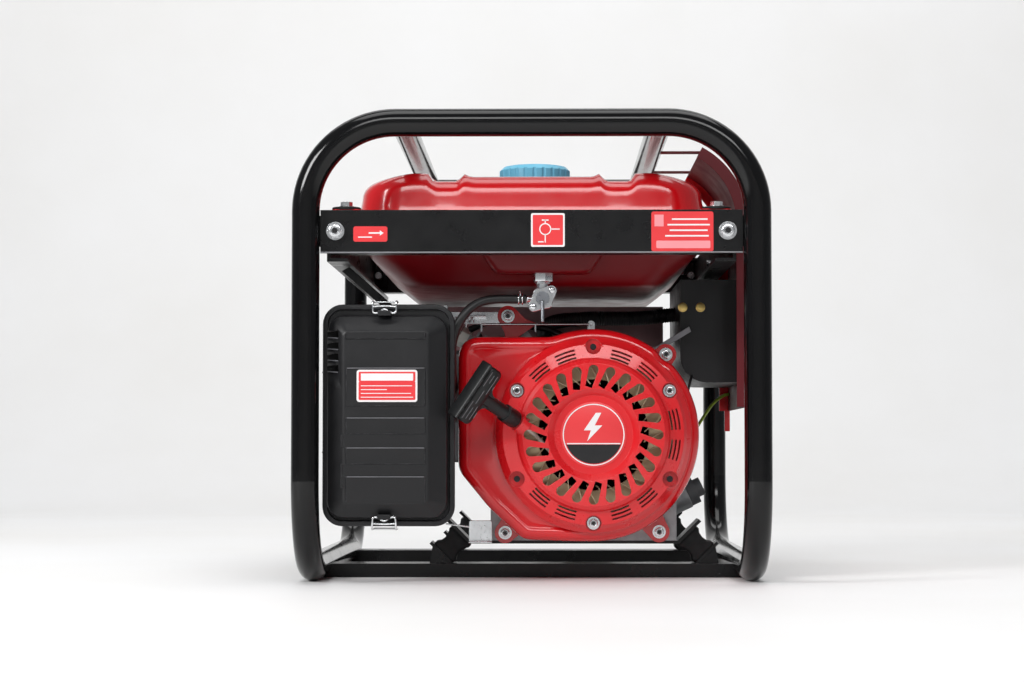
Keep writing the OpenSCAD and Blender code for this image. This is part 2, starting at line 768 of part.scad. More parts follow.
module fan_housing() {
    seat_y = housing_back_y - 4;
    color(red) difference() {
        union() {
            along_y(recoil_y, housing_back_y) difference() {
                housing_outline(0);
                housing_outline(-2);
                bolt_pockets(8.5);
            }
            along_y(recoil_y, recoil_y + 2) difference() {
                housing_outline(-1);
                translate([shaft_x, shaft_z]) circle(r = 76);
                bolt_pockets(8.5);
            }
            along_y(recoil_y, housing_back_y) intersection() {
                housing_outline(-1);
                difference() {
                    bolt_pockets(10.5);
                    bolt_pockets(8.5);
                }
            }
            for (p = housing_bolts) housing_ear(p, seat_y);
        }
        along_y(seat_y - 0.01, housing_back_y + 1) difference() {
            housing_outline(-2);
            bolt_pockets(10.5);
        }
        for (p = housing_bolts) rod([p[0], seat_y - 2, p[1]], [p[0], housing_back_y + 2, p[1]], 3.3);
        for (a = [30, 150, 270]) on_shaft(recoil_y + 3) rotate([0, 0, a]) translate([81, 0, 0])
            cylinder(h = 10, r = 2.9);
    }
}

// Lug on the housing's rear edge, with a web towards the shaft
module housing_ear(p, seat_y) {
    away = unit([p[0] - shaft_x, p[1] - shaft_z]);
    across = [-away[1], away[0]];
    inner = p - 26 * away;
    along_y(seat_y, housing_back_y) {
        translate(p) circle(r = 10.5);
        polygon([p + 10 * across, p - 10 * across, inner - 20 * across, inner + 20 * across]);
    }
}

// Recoil starter

recoil_outer = [[90, 0], [90, 3.5], [86, 8], [83, 12.5], [70.5, 16], [68.5, 20.5], [65, 23], [42, 24.5],
    [38.5, 21.5], [36, 19], [0, 19]];
recoil_inner = [[0, 17], [37, 17], [41, 22], [64, 20.8], [66.6, 19.5], [68.8, 14.3], [81.5, 10.5],
    [84, 6.8], [87.8, 2.5], [87.8, 0]];

module recoil_cover() {
    color(red) difference() {
        union() {
            on_shaft(recoil_y) {
                scale(recoil_r / 90) rotate_extrude() polygon(concat(recoil_outer, recoil_inner));
                for (a = [30 : 60 : 330]) rotate([0, 0, a]) translate([81, 0, 0]) {
                    cylinder(h = 3.5, r = 8.5);
                    translate([-4, 0, 0]) linear_extrude(13) ring(10, 8.5);
                }
                linear_extrude(17) ring(8, 6);
            }
            rod(rope_exit + 9 * unit(rope_inner - rope_exit), rope_exit, 9);
        }
        on_shaft(recoil_y) {
            for (k = [0 : face_slots - 1]) rotate([0, 0, k * 360 / face_slots]) face_slot();
            for (a = [-120 : 60 : 120], side = [-1, 1]) rotate([0, 0, a + side * 10.5]) rim_vents();
            for (a = [30 : 60 : 330]) rotate([0, 0, a]) translate([81, 0, 0]) {
                translate([0, 0, 3.5]) cylinder(h = 30, r = 7.2);
                translate([0, 0, -1]) cylinder(h = 20, r = 2.9);
            }
            translate([0, 0, -30]) cylinder(h = 30, r = 95);
            difference() {
                cylinder(h = 17, r = 37);
                linear_extrude(17) ring(8, 6);
            }
        }
        rod(rope_inner, rope_exit - 5 * unit(rope_inner - rope_exit), 3);
    }
}

// Tapered slot, wide at its outer end and leaning a little
module face_slot() {
    translate([0, 0, 15]) linear_extrude(15) {
        translate([59.2, 0]) circle(r = 4.5);
        polygon([[59.2, -4.5], [59.2, 4.5], [44.5, 7.6], [42.5, 1.6]]);
    }
}

module rim_vents() {
    for (r = [72, 75.6, 79.2]) rotate([0, 0, -7]) rotate_extrude(angle = 14)
        translate([r - 0.8, 6]) square([1.6, 20]);
}

module recoil_reel() {
    color("#303234") on_shaft(recoil_y - 4.5) rotate_extrude() polygon([
        [8.06, 0], [reel_r + 5, 0], [reel_r + 5, 2], [reel_r - 2.2, 3], [reel_r - 2.2, 8],
        [reel_r + 5, 9], [reel_r + 5, 11], [24, 11], [24, 3], [14, 3], [14, 11], [8.06, 11]]);
}

rope_tail = [[28, -225, 106], [20, -225, 115], [11, -227, 126], rope_inner, rope_exit,
    rope_exit + 10 * pull_dir];

// Turns on the reel and the tail through the guide into the handle
module starter_rope() {
    color("#e8e6df") {
        on_shaft(recoil_y - 10) rotate_extrude() translate([reel_r, 0]) circle(r = rope_r);
        swept_tube(rope_tail, rope_r, 8);
    }
}

// T-shaped grip; its stem sits on the recoil cover's rope guide
module pull_handle() {
    color(black) translate(handle_at) turn_to_pull() difference() {
        union() {
            rotate([0, -90, 0]) rotate(40) cylinder(h = 58, r = 7);
            linear_extrude(15, center = true) round_rect([-9.5, -28], [9.5, 28], 6);
        }
        translate([-62, 0, 0]) rotate([0, 90, 0]) rotate(25) cylinder(h = 12, r = 2.2);
        for (y = [-14, 14]) translate([10.8, y, 0]) cylinder(h = 20, r = 2, center = true);
    }
}

// Turns X to the pull direction and Y to the bar
module turn_to_pull() {
    yaw = atan2(pull_dir[1], pull_dir[0]);
    pitch = -asin(pull_dir[2]);
    across = [-sin(yaw), cos(yaw), 0];
    up = cross(unit(pull_dir), across);
    roll = atan2(bar_dir * up, bar_dir * across);
    rotate([0, 0, yaw]) rotate([0, pitch, 0]) rotate([roll, 0, 0]) children();
}

module shroud_bolts() {
    color(zinc) {
        for (p = housing_bolts) translate([p[0], housing_back_y - 4, p[1]]) rotate([90, 0, 0])
            hex_bolt(6, 18);
        for (a = [30, 150, 270]) on_shaft(recoil_y - 3.5) rotate([0, 0, a])
            translate([81, 0, 0]) hex_bolt(5.6, 9);
    }
}

// Ignition, fuel and control pieces

module spark_plug() {
    color("#e6e3da") on_cylinder(deck_t + head_t) translate([plug_off, 0, 0]) {
        translate([0, 0, -18]) cylinder(h = 18, r = 6);
        cylinder(h = 10, r = 10, $fn = 6);
        translate([0, 0, 10]) cylinder(h = 22, r = 5);
    }
}

module plug_cap() {
    color(rubber) on_cylinder(deck_t + head_t) translate([plug_off, 0, 0]) difference() {
        union() {
            translate([0, 0, 13]) cylinder(h = 32, r = 9);
            translate([0, 0, 36]) rotate([0, 90, 0]) cylinder(h = 16, r = 6);
        }
        translate([0, 0, 12]) cylinder(h = 21, r = 5.05);
    }
}

carb_at = [-98, -172, 186];

module carburettor() {
    color(alloy) {
        rod([carb_at[0], -195, carb_at[2]], [carb_at[0], -149, carb_at[2]], 16);
        along_y(-149, -143) translate([carb_at[0], carb_at[2]]) round_rect([-20, -26], [32, 26], 8);
        translate([carb_at[0], carb_at[1], carb_at[2] - 44]) cylinder(h = 40, r = 15);
        block(carb_at[0] - 14, carb_at[0] + 14, -186, -158, carb_at[2] + 8, carb_at[2] + 24);
        rod([carb_at[0], -170, 172], [-79, -180, 174], 2.6);
    }
}

module choke_lever() {
    color(black) {
        rod([carb_at[0] - 15, -182, carb_at[2] + 16], [carb_at[0] - 20, -182, carb_at[2] + 16], 5);
        rod([carb_at[0] - 18, -182, carb_at[2] + 16], [carb_at[0] - 18, -182, carb_at[2] + 46], 2.2);
        translate([carb_at[0] - 18, -182, carb_at[2] + 46]) sphere(r = 5);
    }
}

governor_x = 56;
governor_z = 224;
governor_len = 16;

module governor_arm() {
    top = governor_z + governor_len;
    color(zinc) {
        rod([governor_x, -149, governor_z], [governor_x, -126, governor_z], 3);
        along_y(-149, -147) translate([governor_x, governor_z]) {
            circle(r = 6);
            translate([-3.5, 0]) square([7, governor_len]);
            translate([0, governor_len]) circle(r = 3.5);
        }
        rod([governor_x, -148, top], [governor_x, -160, top], 1.4);
    }
}

module governor_link() {
    z = governor_z + governor_len - 0.5;
    color(zinc) {
        rod([-48, -157, z], [governor_x - 2.4, -157, z], 1.1);
        for (x = [-48, 3]) rod([x, -157, z], [x, -157, z - 7], 1.1);
    }
}

module oil_dipstick() {
    cap = dipstick_seat + 0.3 * dipstick_dir;
    color("#3a3b3d") {
        rod(cap, cap + 9 * dipstick_dir, 14);
        rod(cap + 9 * dipstick_dir, cap + 16 * dipstick_dir, 9);
        rod(cap, cap - 12 * dipstick_dir, 9);
        rod(cap - 12 * dipstick_dir, cap - 34 * dipstick_dir, 2);
    }
}

// Air cleaner

module cleaner_outline(g) {
    round_rect([cleaner_x0 - g, cleaner_z0 - g],
        [cleaner_x0 + cleaner_w + g, cleaner_z0 + cleaner_h + g], 18 + g);
}

module air_cleaner_case() {
    color(black) difference() {
        union() {
            along_y(flange_y, flange_y + 4) cleaner_outline(0);
            along_y(flange_y, -195) cleaner_outline(-9);
            for (z = [cleaner_z0 + 1, cleaner_z0 + cleaner_h - 10])
                block(clip_x - 8, clip_x + 8, flange_y, flange_y + 10, z, z + 9);
        }
        along_y(flange_y - 1, -197.5) cleaner_outline(-11.5);
        rod([carb_at[0], -199, carb_at[2]], [carb_at[0], -194, carb_at[2]], 13);
    }
}

module air_cleaner_cover() {
    color(black) difference() {
        union() {
            along_y(flange_y - 3, flange_y - 0.2) cleaner_outline(-6);
            along_y(flange_y - 10, flange_y - 2.9) cleaner_outline(-7.5);
            along_y(flange_y - 15, flange_y - 9.9) cleaner_outline(-11);
            along_y(flange_y - 17, flange_y - 14.9) cleaner_outline(-15);
            for (z = clip_z) block(clip_x - 6, clip_x + 6, clip_y - 2.4, clip_y + 5, z - 2.4, z + 2.4);
        }
        along_y(flange_y - 8, flange_y + 1) cleaner_outline(-9.5);
        along_y(flange_y - 13, flange_y - 7.9) cleaner_outline(-13);
        along_y(flange_y - 15, flange_y - 12.9) cleaner_outline(-17);
        for (z = [190, 201, 212])
            block(cleaner_x0 + 9, cleaner_x0 + 18, flange_y - 20, flange_y, z, z + 5);
        for (z = clip_z) rod([clip_x - 7, clip_y, z], [clip_x + 7, clip_y, z], clip_r + 0.05);
    }
}

module filter_element() {
    color("#6d6a5e") block(-174, -84, -250, -212, 68, 236);
}

// Wire clip hinged on the cover at height z, that reaches back over the rim at s * 10.8
module wire_clip(z, s) {
    over = z + s * 10.8;
    back_y = flange_y + 7;
    color(steel) {
        for (x = [clip_x - 10, clip_x + 10]) {
            rod([x, clip_y, z], [x, clip_y, over + s * clip_r], clip_r - 0.1);
            rod([x, clip_y, over], [x, back_y, over], clip_r - 0.15);
        }
        rod([clip_x - 11.5, clip_y, z], [clip_x + 11.5, clip_y, z], clip_r);
        rod([clip_x - 11.5, back_y, over], [clip_x + 11.5, back_y, over], clip_r);
    }
}

module upper_clip() {
    wire_clip(clip_z[1], 1);
}

module lower_clip() {
    wire_clip(clip_z[0], -1);
}

// Exhaust

module exhaust_pipe() {
    x = exhaust_at[0];
    z = exhaust_at[1];
    color(steel) difference() {
        union() {
            rod([x, -51, z], [x, muffler_y0 + 2, z], 14);
            along_y(-51, -44) translate([x, z]) round_rect([-20, -18], [20, 18], 10);
        }
        rod([x, -60, z], [x, muffler_y0 + 10, z], 12);
    }
}

module muffler_outline(g) {
    translate([muffler_mid[0], muffler_mid[2]]) round_rect([-66 - g, -70 - g], [66 + g, 70 + g], 40 + g);
}

module muffler() {
    color("#5b5d5f") difference() {
        union() {
            along_y(muffler_mid[1] - 100, muffler_mid[1] + 100) muffler_outline(0);
            for (e = [-1, 1]) along_y(muffler_mid[1] + e * 80 - 2, muffler_mid[1] + e * 80 + 2)
                muffler_outline(2);
            rod([-120, 224, 200], [-120, 246, 200], 12);
        }
        along_y(muffler_mid[1] - 98, muffler_mid[1] + 98) muffler_outline(-2);
        rod([-120, 218, 200], [-120, 250, 200], 10);
        rod([exhaust_at[0], muffler_y0 - 5, exhaust_at[1]],
            [exhaust_at[0], muffler_y0 + 5, exhaust_at[1]], 14.05);
    }
}

module muffler_shield() {
    x = muffler_mid[0] - 66 - 9;
    color(steel) {
        difference() {
            block(x - 1.2, x, muffler_mid[1] - 90, muffler_mid[1] + 90, 125, 235);
            for (y = [-75 : 15 : 75], z = [140, 180]) block(x - 3, x + 1, muffler_mid[1] + y - 2.5,
                muffler_mid[1] + y + 2.5, z, z + 28);
        }
        for (y = [-60, 60], z = [175, 185]) rod([x - 0.5, muffler_mid[1] + y, z],
            [muffler_mid[0] - 66, muffler_mid[1] + y, z], 3);
        heat_baffle();
    }
}

// Upright plate under the tank, on a tab over the alternator's front bell
module heat_baffle() {
    y = 13;
    block(-150, 132, y, y + 1.2, 222, 266);
    block(-150, 132, y, y + 9, 265, 266.2);
    block(shaft_x - 12, shaft_x + 12, y, y + 1.2, 214.7, 223);
}

// Alternator

stator_y0 = 20;
stator_y1 = stator_y0 + stator_l;
bell_r = stator_d / 2 + 2;
gland_dir = [cos(112.5), 0, sin(112.5)];
gland_at = [shaft_x, 3, shaft_z] + (bell_r + 6) * gland_dir;

module stator() {
    color(steel) {
        on_shaft(stator_y1) linear_extrude(stator_l) difference() {
            circle(r = stator_d / 2);
            circle(r = 58.5);
            for (a = [7.5 : 15 : 352.5]) rotate(a) translate([58, -2.5]) square([12, 5]);
        }
    }
}

module rotor() {
    color("#7a4a2a") {
        on_shaft(stator_y1) linear_extrude(stator_l - 4) difference() {
            circle(r = 57.8);
            for (a = [0 : 30 : 330]) rotate(a) translate([48, -3]) square([12, 6]);
        }
        on_shaft(bell_back_y - 1) cylinder(h = bell_back_y - 1 - stator_y1, r = rotor_shaft_r);
        on_shaft(stator_y0 + 4) cylinder(h = 2, r = journal_r);
    }
}

module end_bells() {
    color(alloy) {
        difference() {
            on_shaft(stator_y0) cylinder(h = stator_y0 - cover_back_y, r = bell_r);
            on_shaft(stator_y0 + 1) cylinder(h = 60, r = bell_r - 7);
            for (a = [0 : 45 : 315]) on_shaft(stator_y0 - 8) rotate([0, 0, a])
                translate([bell_r - 12, -16, 0]) cube([24, 32, 18]);
        }
        rod(gland_at - 9 * gland_dir, gland_at, 9);
        on_shaft(cover_back_y + 6) linear_extrude(6) difference() {
            circle(r = bell_r - 6.9);
            circle(r = 44);
            for (a = [22.5 : 45 : 337.5]) rotate(a) translate([60, 0]) circle(r = 6);
        }
        difference() {
            on_shaft(bell_back_y) cylinder(h = bell_back_y - stator_y1, r = bell_r);
            on_shaft(bell_back_y - 8) cylinder(h = 60, r = bell_r - 7);
            on_shaft(bell_back_y + 1) cylinder(h = 20, r = rear_bearing_r + 0.02);
            for (a = [0 : 30 : 330]) on_shaft(stator_y1 + 50) rotate([0, 0, a])
                translate([bell_r - 12, -10, 0]) cube([24, 20, 30]);
        }
    }
}

module alternator_cover() {
    y0 = bell_back_y;
    color(black) difference() {
        on_shaft(y0 + 22) cylinder(h = 22, r = bell_r - 3);
        on_shaft(y0 + 20) cylinder(h = 21, r = bell_r - 5);
        for (r = [30, 44, 58], a = [0 : 30 : 330]) on_shaft(y0 + 24) rotate([0, 0, a])
            rotate_extrude(angle = 20) translate([r, 0]) square([6, 10]);
    }
}

// Control panel and electrics

// Outline of a sheet t thick, whose outer face runs up beside the legs and over with their bend
module panel_section(t) {
    translate([panel_x - t, panel_low_z]) square([t, corner_z - panel_low_z]);
    translate([corner_x, corner_z]) intersection() {
        difference() {
            circle(r = panel_r);
            circle(r = panel_r - t);
        }
        polygon([[0, 0], [2 * panel_r, 0], [2 * panel_r, 2 * panel_r],
            2 * panel_r * [cos(62), sin(62)]]);
    }
}

module control_panel() {
    color(red) difference() {
        union() {
            along_y(panel_y0, panel_y1) panel_section(panel_t);
            along_y(panel_y0, panel_y0 + panel_t) panel_section(11);
            along_y(panel_y1 - panel_t, panel_y1) panel_section(11);
            rod([panel_x - 1, 45, 178], [panel_x + 11, 45, 178], 3);
            for (y = [panel_y0 + 30, panel_y1 - 42])
                block(top_rail_x + 6.7, panel_top[0], y, y + 12, panel_top[1] - 1.5, panel_top[1]);
            block(panel_x - 5.5, panel_x, panel_y1 - 1.5, panel_y1, panel_low_z - 21, panel_low_z + 1);
        }
        for (y = [panel_y0 + 25, panel_y1 - 25]) rod([panel_x - 5, y, 312], [panel_x + 5, y, 312], 3.05);
        for (y = outlet_y) rod([panel_x - 5, y, outlet_z], [panel_x + 5, y, outlet_z], 20);
        block(panel_x - 5, panel_x + 5, -14.5, 4.5, 236, 272);
        block(panel_x - 5, panel_x + 5, 22.5, 41.5, 240, 268);
        rod([panel_x - 5, 20, meter_z], [panel_x + 5, 20, meter_z], 21);
    }
}

outlet_y = [-108, -48];
outlet_z = 225;
meter_z = 209;

module outlet_sockets() {
    color("#e4e2dc") for (y = outlet_y) difference() {
        union() {
            along_x(panel_x, panel_x + 4) translate([y, outlet_z]) round_rect([-26, -26], [26, 26], 5);
            rod([panel_x - 22, y, outlet_z], [panel_x + 1, y, outlet_z], 19.9);
            rod([panel_x, y, outlet_z], [panel_x + 9, y, outlet_z], 23);
        }
        rod([panel_x - 8, y, outlet_z], [panel_x + 10, y, outlet_z], 19);
        for (s = [-9.5, 9.5])
            rod([panel_x - 18, y + s, outlet_z], [panel_x + 5, y + s, outlet_z], 2.4);
    }
}

module breaker_toggle() {
    color(black) {
        rod([panel_x - 8, -14, 254], [panel_x - 8, 4, 254], 7);
        rod([panel_x - 8, -5, 254], [panel_x + 9, -5, 261], 3.5);
    }
}

module engine_switch() {
    color("#b01820") difference() {
        rod([panel_x - 10, 23, 254], [panel_x - 10, 41, 254], 14);
        block(panel_x - 30, panel_x - 14, 20, 45, 230, 280);
    }
}

module voltmeter() {
    color("#dfe2e4") difference() {
        union() {
            rod([panel_x - 18, 20, meter_z], [panel_x + 0.5, 20, meter_z], 20.8);
            rod([panel_x + 0.02, 20, meter_z], [panel_x + 6, 20, meter_z], 24);
        }
        rod([panel_x + 3, 20, meter_z], [panel_x + 8, 20, meter_z], 21);
    }
}

// Plastic back of the panel, open towards it
module control_box() {
    color(black) difference() {
        along_y(-140, 52) box_outline(0);
        along_y(-137.5, 49.5) translate([2.5, 0]) box_outline(-2.4);
        rod([138, -40, 255], [146, -40, 255], 8);
    }
}

module box_outline(g) {
    translate([141 - g, 210]) square([panel_x - panel_t - 0.2 - 141 + g, 73 + g]);
    translate([166, 185 - g]) square([panel_x - panel_t - 0.2 - 166, 60]);
    translate([166, 210]) circle(r = 25 + g);
}

loom_route = [[144, -40, 255], [130, -41, 254], [112, -43, 252], [94, -46, 251], [76, -48, 251],
    [58, -50, 251], [42, -49, 250], [28, -43, 249], [18, -32, 247], [12, -19, 243], [11, -8, 237],
    [14, -1, 231], [18, 2, 224], [gland_at[0] - 0.2, 3, gland_at[2] + 0.5]];

module wiring_loom() {
    color(rubber) swept_tube(loom_route, 7.5, 12);
}

front_hoop();
rear_hoop();
top_rails();
floor_crossbars();
tank_rails();
frame_bolts();
rubber_mounts();
support_feet();
tank_upper_shell();
tank_lower_shell();
tank_bolts();
filler_neck();
fuel_strainer();
cap_gasket();
fuel_cap();
fuel_tap();
tap_lever();
fuel_hose();
crankcase();
crankcase_cover();
main_bearings();
cylinder_head();
valve_cover();
piston();
connecting_rod();
crankshaft();
flywheel();
cooling_fan();
fan_housing();
recoil_cover();
recoil_reel();
starter_rope();
pull_handle();
shroud_bolts();
spark_plug();
plug_cap();
carburettor();
choke_lever();
governor_arm();
governor_link();
oil_dipstick();
air_cleaner_case();
air_cleaner_cover();
filter_element();
upper_clip();
lower_clip();
exhaust_pipe();
muffler();
muffler_shield();
stator();
rotor();
end_bells();
alternator_cover();
control_panel();
control_box();
outlet_sockets();
breaker_toggle();
engine_switch();
voltmeter();
wiring_loom();
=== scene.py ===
"""Looks of an open-frame petrol generator set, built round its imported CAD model."""

import json
from math import cos, exp, hypot, pi, radians, sin, sqrt

import bmesh
import bpy
from mathutils import Matrix, Vector


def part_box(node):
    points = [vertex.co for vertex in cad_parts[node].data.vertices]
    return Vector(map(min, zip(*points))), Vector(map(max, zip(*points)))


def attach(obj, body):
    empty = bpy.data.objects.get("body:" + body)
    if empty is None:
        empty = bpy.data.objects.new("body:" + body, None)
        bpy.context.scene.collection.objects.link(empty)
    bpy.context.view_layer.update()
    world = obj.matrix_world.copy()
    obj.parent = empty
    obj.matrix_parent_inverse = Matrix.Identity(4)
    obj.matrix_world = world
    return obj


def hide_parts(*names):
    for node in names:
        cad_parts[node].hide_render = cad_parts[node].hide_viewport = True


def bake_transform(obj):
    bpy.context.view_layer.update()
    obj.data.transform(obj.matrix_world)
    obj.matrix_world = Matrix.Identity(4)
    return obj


MM = 0.001
ROOT = "frame_and_engine"
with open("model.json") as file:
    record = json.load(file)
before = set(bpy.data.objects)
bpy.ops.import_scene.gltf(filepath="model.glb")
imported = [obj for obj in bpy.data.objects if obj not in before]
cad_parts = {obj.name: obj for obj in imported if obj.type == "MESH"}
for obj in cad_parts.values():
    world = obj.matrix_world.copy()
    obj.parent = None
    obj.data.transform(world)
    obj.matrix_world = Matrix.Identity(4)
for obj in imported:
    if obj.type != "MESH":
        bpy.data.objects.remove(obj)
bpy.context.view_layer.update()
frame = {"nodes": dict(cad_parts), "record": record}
record = frame["record"]


def box_mm(node):
    """Lowest and highest corner of a CAD node, in millimetres."""
    lo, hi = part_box(node)
    return lo / MM, hi / MM


# Camera, at the height of the crankshaft and a little to the right of the middle

camera = bpy.data.objects.new("camera", bpy.data.cameras.new("camera"))
bpy.context.scene.collection.objects.link(camera)
camera.location = (0.014, -2.428, 0.120)
camera.rotation_euler = (radians(92.603), 0, radians(0.836))
camera.data.lens = 84.4
camera.data.sensor_width = 36
bpy.context.scene.camera = camera


# Materials

def srgb(r, g, b):
    """Linear colour of an 8-bit sRGB colour."""
    def linear(v):
        v /= 255
        return v / 12.92 if v <= 0.04045 else ((v + 0.055) / 1.055) ** 2.4
    return (linear(r), linear(g), linear(b), 1)


def shade(colour, k):
    return tuple(min(1, c * k) for c in colour[:3]) + (1,)


class Nodes:
    """Short names for building a material's node tree."""

    def __init__(self, name):
        self.material = bpy.data.materials.new(name)
        self.material.use_nodes = True
        self.tree = self.material.node_tree
        self.shader = self.tree.nodes["Principled BSDF"]
        self.coord = self.tree.nodes.new("ShaderNodeTexCoord").outputs["Object"]

    def link(self, a, b):
        self.tree.links.new(a, b)

    def add(self, kind, values, **settings):
        """A new node; values go to its inputs by name or number, as constants or as links."""
        node = self.tree.nodes.new("ShaderNode" + kind)
        for name, value in settings.items():
            setattr(node, name, value)
        for socket, value in values.items():
            if isinstance(value, bpy.types.NodeSocket):
                self.link(value, node.inputs[socket])
            else:
                node.inputs[socket].default_value = value
        return node

    def noise(self, scale, detail=4.0, rough=0.55, stretch=(1, 1, 1)):
        mapping = self.add("Mapping", {"Scale": stretch, "Vector": self.coord})
        return self.add("TexNoise", {"Scale": scale, "Detail": detail, "Roughness": rough,
                                     "Vector": mapping.outputs["Vector"]}).outputs["Fac"]

    def spread(self, value, lo, hi, from_lo=0.3, from_hi=0.7):
        return self.add("MapRange", {"From Min": from_lo, "From Max": from_hi, "To Min": lo,
                                     "To Max": hi, "Value": value}).outputs["Result"]

    def multiply(self, a, b):
        return self.add("Math", {0: a, 1: b}, operation="MULTIPLY").outputs[0]

    def mix(self, factor, a, b):
        return self.add("Mix", {"Factor": factor, 6: a, 7: b}, data_type="RGBA").outputs[2]

    def normal(self):
        return self.add("NewGeometry", {}).outputs["Normal"]

    def rounded(self, radius):
        """Normal with edges rounded by radius, and a mask that is 1 on those edges."""
        smooth = self.add("Bevel", {"Radius": radius}, samples=4).outputs["Normal"]
        dot = self.add("VectorMath", {0: smooth, 1: self.normal()}, operation="DOT_PRODUCT")
        return smooth, self.spread(dot.outputs["Value"], 1, 0, 0.86, 0.995)


def add_finish(name, colour, rough, metal=0.0, coat=0.0, mottle=0.12, patch=9.0, grain=900.0,
               grain_bump=0.15, edge=None, edge_share=0.5, rounding=0.6, stretch=(1, 1, 1),
               sheen=0.0, specular=0.5, dust=0.0):
    """A finish: patches of slightly different colour, uneven gloss, fine grain, rounded edges
    that can take another colour (bare metal worn through on some finishes, a painted highlight
    on others), and a little dust on what faces up. Colours are 8-bit sRGB, rough is the range of
    roughness and rounding is in millimetres."""
    n = Nodes(name)
    patches = n.noise(patch, 5, 0.6, stretch)
    base = srgb(*colour)
    colour_out = n.mix(n.spread(patches, 0, 1), shade(base, 1 - mottle), shade(base, 1 + mottle))
    normal, edges = n.rounded(rounding * MM)
    # The edge colour is real wear on some finishes and a painted highlight on others.
    if edge is not None:
        edge_wear_and_highlight = n.multiply(edges, n.spread(n.noise(140, 6, 0.7), 0, edge_share, 0.45, 0.6))
        colour_out = n.mix(edge_wear_and_highlight, colour_out, srgb(*edge))
    if dust:
        up = n.spread(n.add("SeparateXYZ", {0: n.normal()}).outputs["Z"], 0, dust, 0.55, 1)
        colour_out = n.mix(n.multiply(up, n.spread(n.noise(60, 8, 0.75), 0.2, 1)),
                           colour_out, srgb(168, 160, 148))
    smear = n.multiply(n.noise(patch * 5, 7, 0.65, stretch), 1.0)
    bump = n.add("Bump", {"Strength": grain_bump, "Distance": 0.15 * MM,
                          "Height": n.noise(grain, 3, 0.6, stretch), "Normal": normal})
    n.link(colour_out, n.shader.inputs["Base Color"])
    n.link(n.spread(smear, *rough), n.shader.inputs["Roughness"])
    n.link(bump.outputs["Normal"], n.shader.inputs["Normal"])
    for socket, value in (("Metallic", metal), ("Coat Weight", coat), ("Coat Roughness", 0.06),
                          ("Sheen Weight", sheen), ("Specular IOR Level", specular)):
        n.shader.inputs[socket].default_value = value
    M[name] = n.material


M = {}
BARE = (150, 150, 152)
add_finish("tube_black", (9, 9, 10), (0.07, 0.16), grain=260, grain_bump=0.08, edge=BARE,
           edge_share=0.2, specular=0.36, dust=0.02)
add_finish("sheet_black", (20, 20, 21), (0.24, 0.38), grain=700, grain_bump=0.16, edge=BARE,
           edge_share=0.3, specular=0.3, dust=0.04)
# Darker red for the tank's underside: painted shade under the tank.
add_finish("tank_under_painted_shade", (98, 4, 11), (0.28, 0.44), grain=300, grain_bump=0.12, specular=0.25)
# Mauve metal: zinc grey with a painted reflection of the red tank.
add_finish("zinc_painted_red_reflection", (150, 116, 118), (0.35, 0.55), metal=0.5, mottle=0.15, patch=20)
# Dark red for the control panel's inner faces: painted shade.
add_finish("panel_inner_painted_shade", (92, 18, 26), (0.4, 0.6), grain=700, mottle=0.15, specular=0.35)
# The lighter red edge colours of red_enamel and red_cover are painted highlights on rounded edges.
add_finish("red_enamel", (203, 12, 22), (0.12, 0.24), coat=0.55, grain=240, mottle=0.05,
           grain_bump=0.09, edge=(226, 70, 74), dust=0.02)
add_finish("red_cover", (214, 22, 30), (0.24, 0.36), coat=0.35, grain=520, mottle=0.05,
           grain_bump=0.12, edge=(240, 96, 98), edge_share=0.7, rounding=0.9, dust=0.04)
add_finish("zinc", (222, 224, 226), (0.14, 0.32), metal=1, patch=60, grain=1400, grain_bump=0.12,
           rounding=0.4)
add_finish("yellow_zinc", (196, 170, 104), (0.26, 0.45), metal=1, mottle=0.25, patch=70,
           grain=1200, rounding=0.35)
add_finish("chrome_wire", (222, 224, 226), (0.06, 0.16), metal=1, mottle=0.05, grain=600,
           grain_bump=0.05, rounding=0.2)
add_finish("cast_alloy", (158, 160, 162), (0.42, 0.62), metal=0.9, mottle=0.18, patch=45,
           grain=1500, grain_bump=0.5, rounding=1.2, edge=(205, 206, 208), dust=0.15)
add_finish("ground_steel", (150, 153, 158), (0.2, 0.4), metal=1, patch=40, stretch=(1, 12, 1))
add_finish("hot_steel", (92, 92, 94), (0.45, 0.65), metal=0.6, mottle=0.25, patch=14,
           grain_bump=0.35, edge=(140, 112, 84))
add_finish("dark_iron", (46, 46, 48), (0.5, 0.7), metal=0.6, mottle=0.2, patch=40, grain=1300,
           grain_bump=0.5, edge=BARE)
add_finish("lamination", (120, 104, 90), (0.4, 0.6), metal=0.8, mottle=0.2, patch=30, grain=90,
           grain_bump=0.5, stretch=(0.01, 22, 0.01))
add_finish("copper", (176, 92, 52), (0.22, 0.4), metal=0.9, mottle=0.25, patch=80, grain=300,
           grain_bump=0.4)
add_finish("rubber", (26, 26, 27), (0.62, 0.82), mottle=0.2, patch=30, grain=1600, grain_bump=0.35,
           specular=0.35, rounding=0.8, dust=0.12)
add_finish("hose", (19, 19, 20), (0.34, 0.5), mottle=0.15, patch=50, grain=1800, grain_bump=0.2,
           specular=0.45)
# plastic_black's pale grey edge colour is a painted highlight on rounded edges.
add_finish("plastic_black", (22, 22, 24), (0.36, 0.5), mottle=0.1, patch=16, grain=2600,
           grain_bump=0.3, edge=(120, 120, 124), edge_share=0.8, specular=0.4, dust=0.02)
# Pale grey plastic that paints highlights on the cover's ridges and louvre lips.
add_finish("plastic_painted_highlight", (98, 98, 102), (0.36, 0.5), mottle=0.2, patch=60, grain=2600,
           grain_bump=0.2, rounding=0.2)
# Near-black plastic that paints shade: the cover's recessed bands and the sheet behind the louvres.
add_finish("plastic_painted_shade", (9, 9, 10), (0.5, 0.65), mottle=0.2, patch=60, grain=2600,
           grain_bump=0.3, specular=0.2)
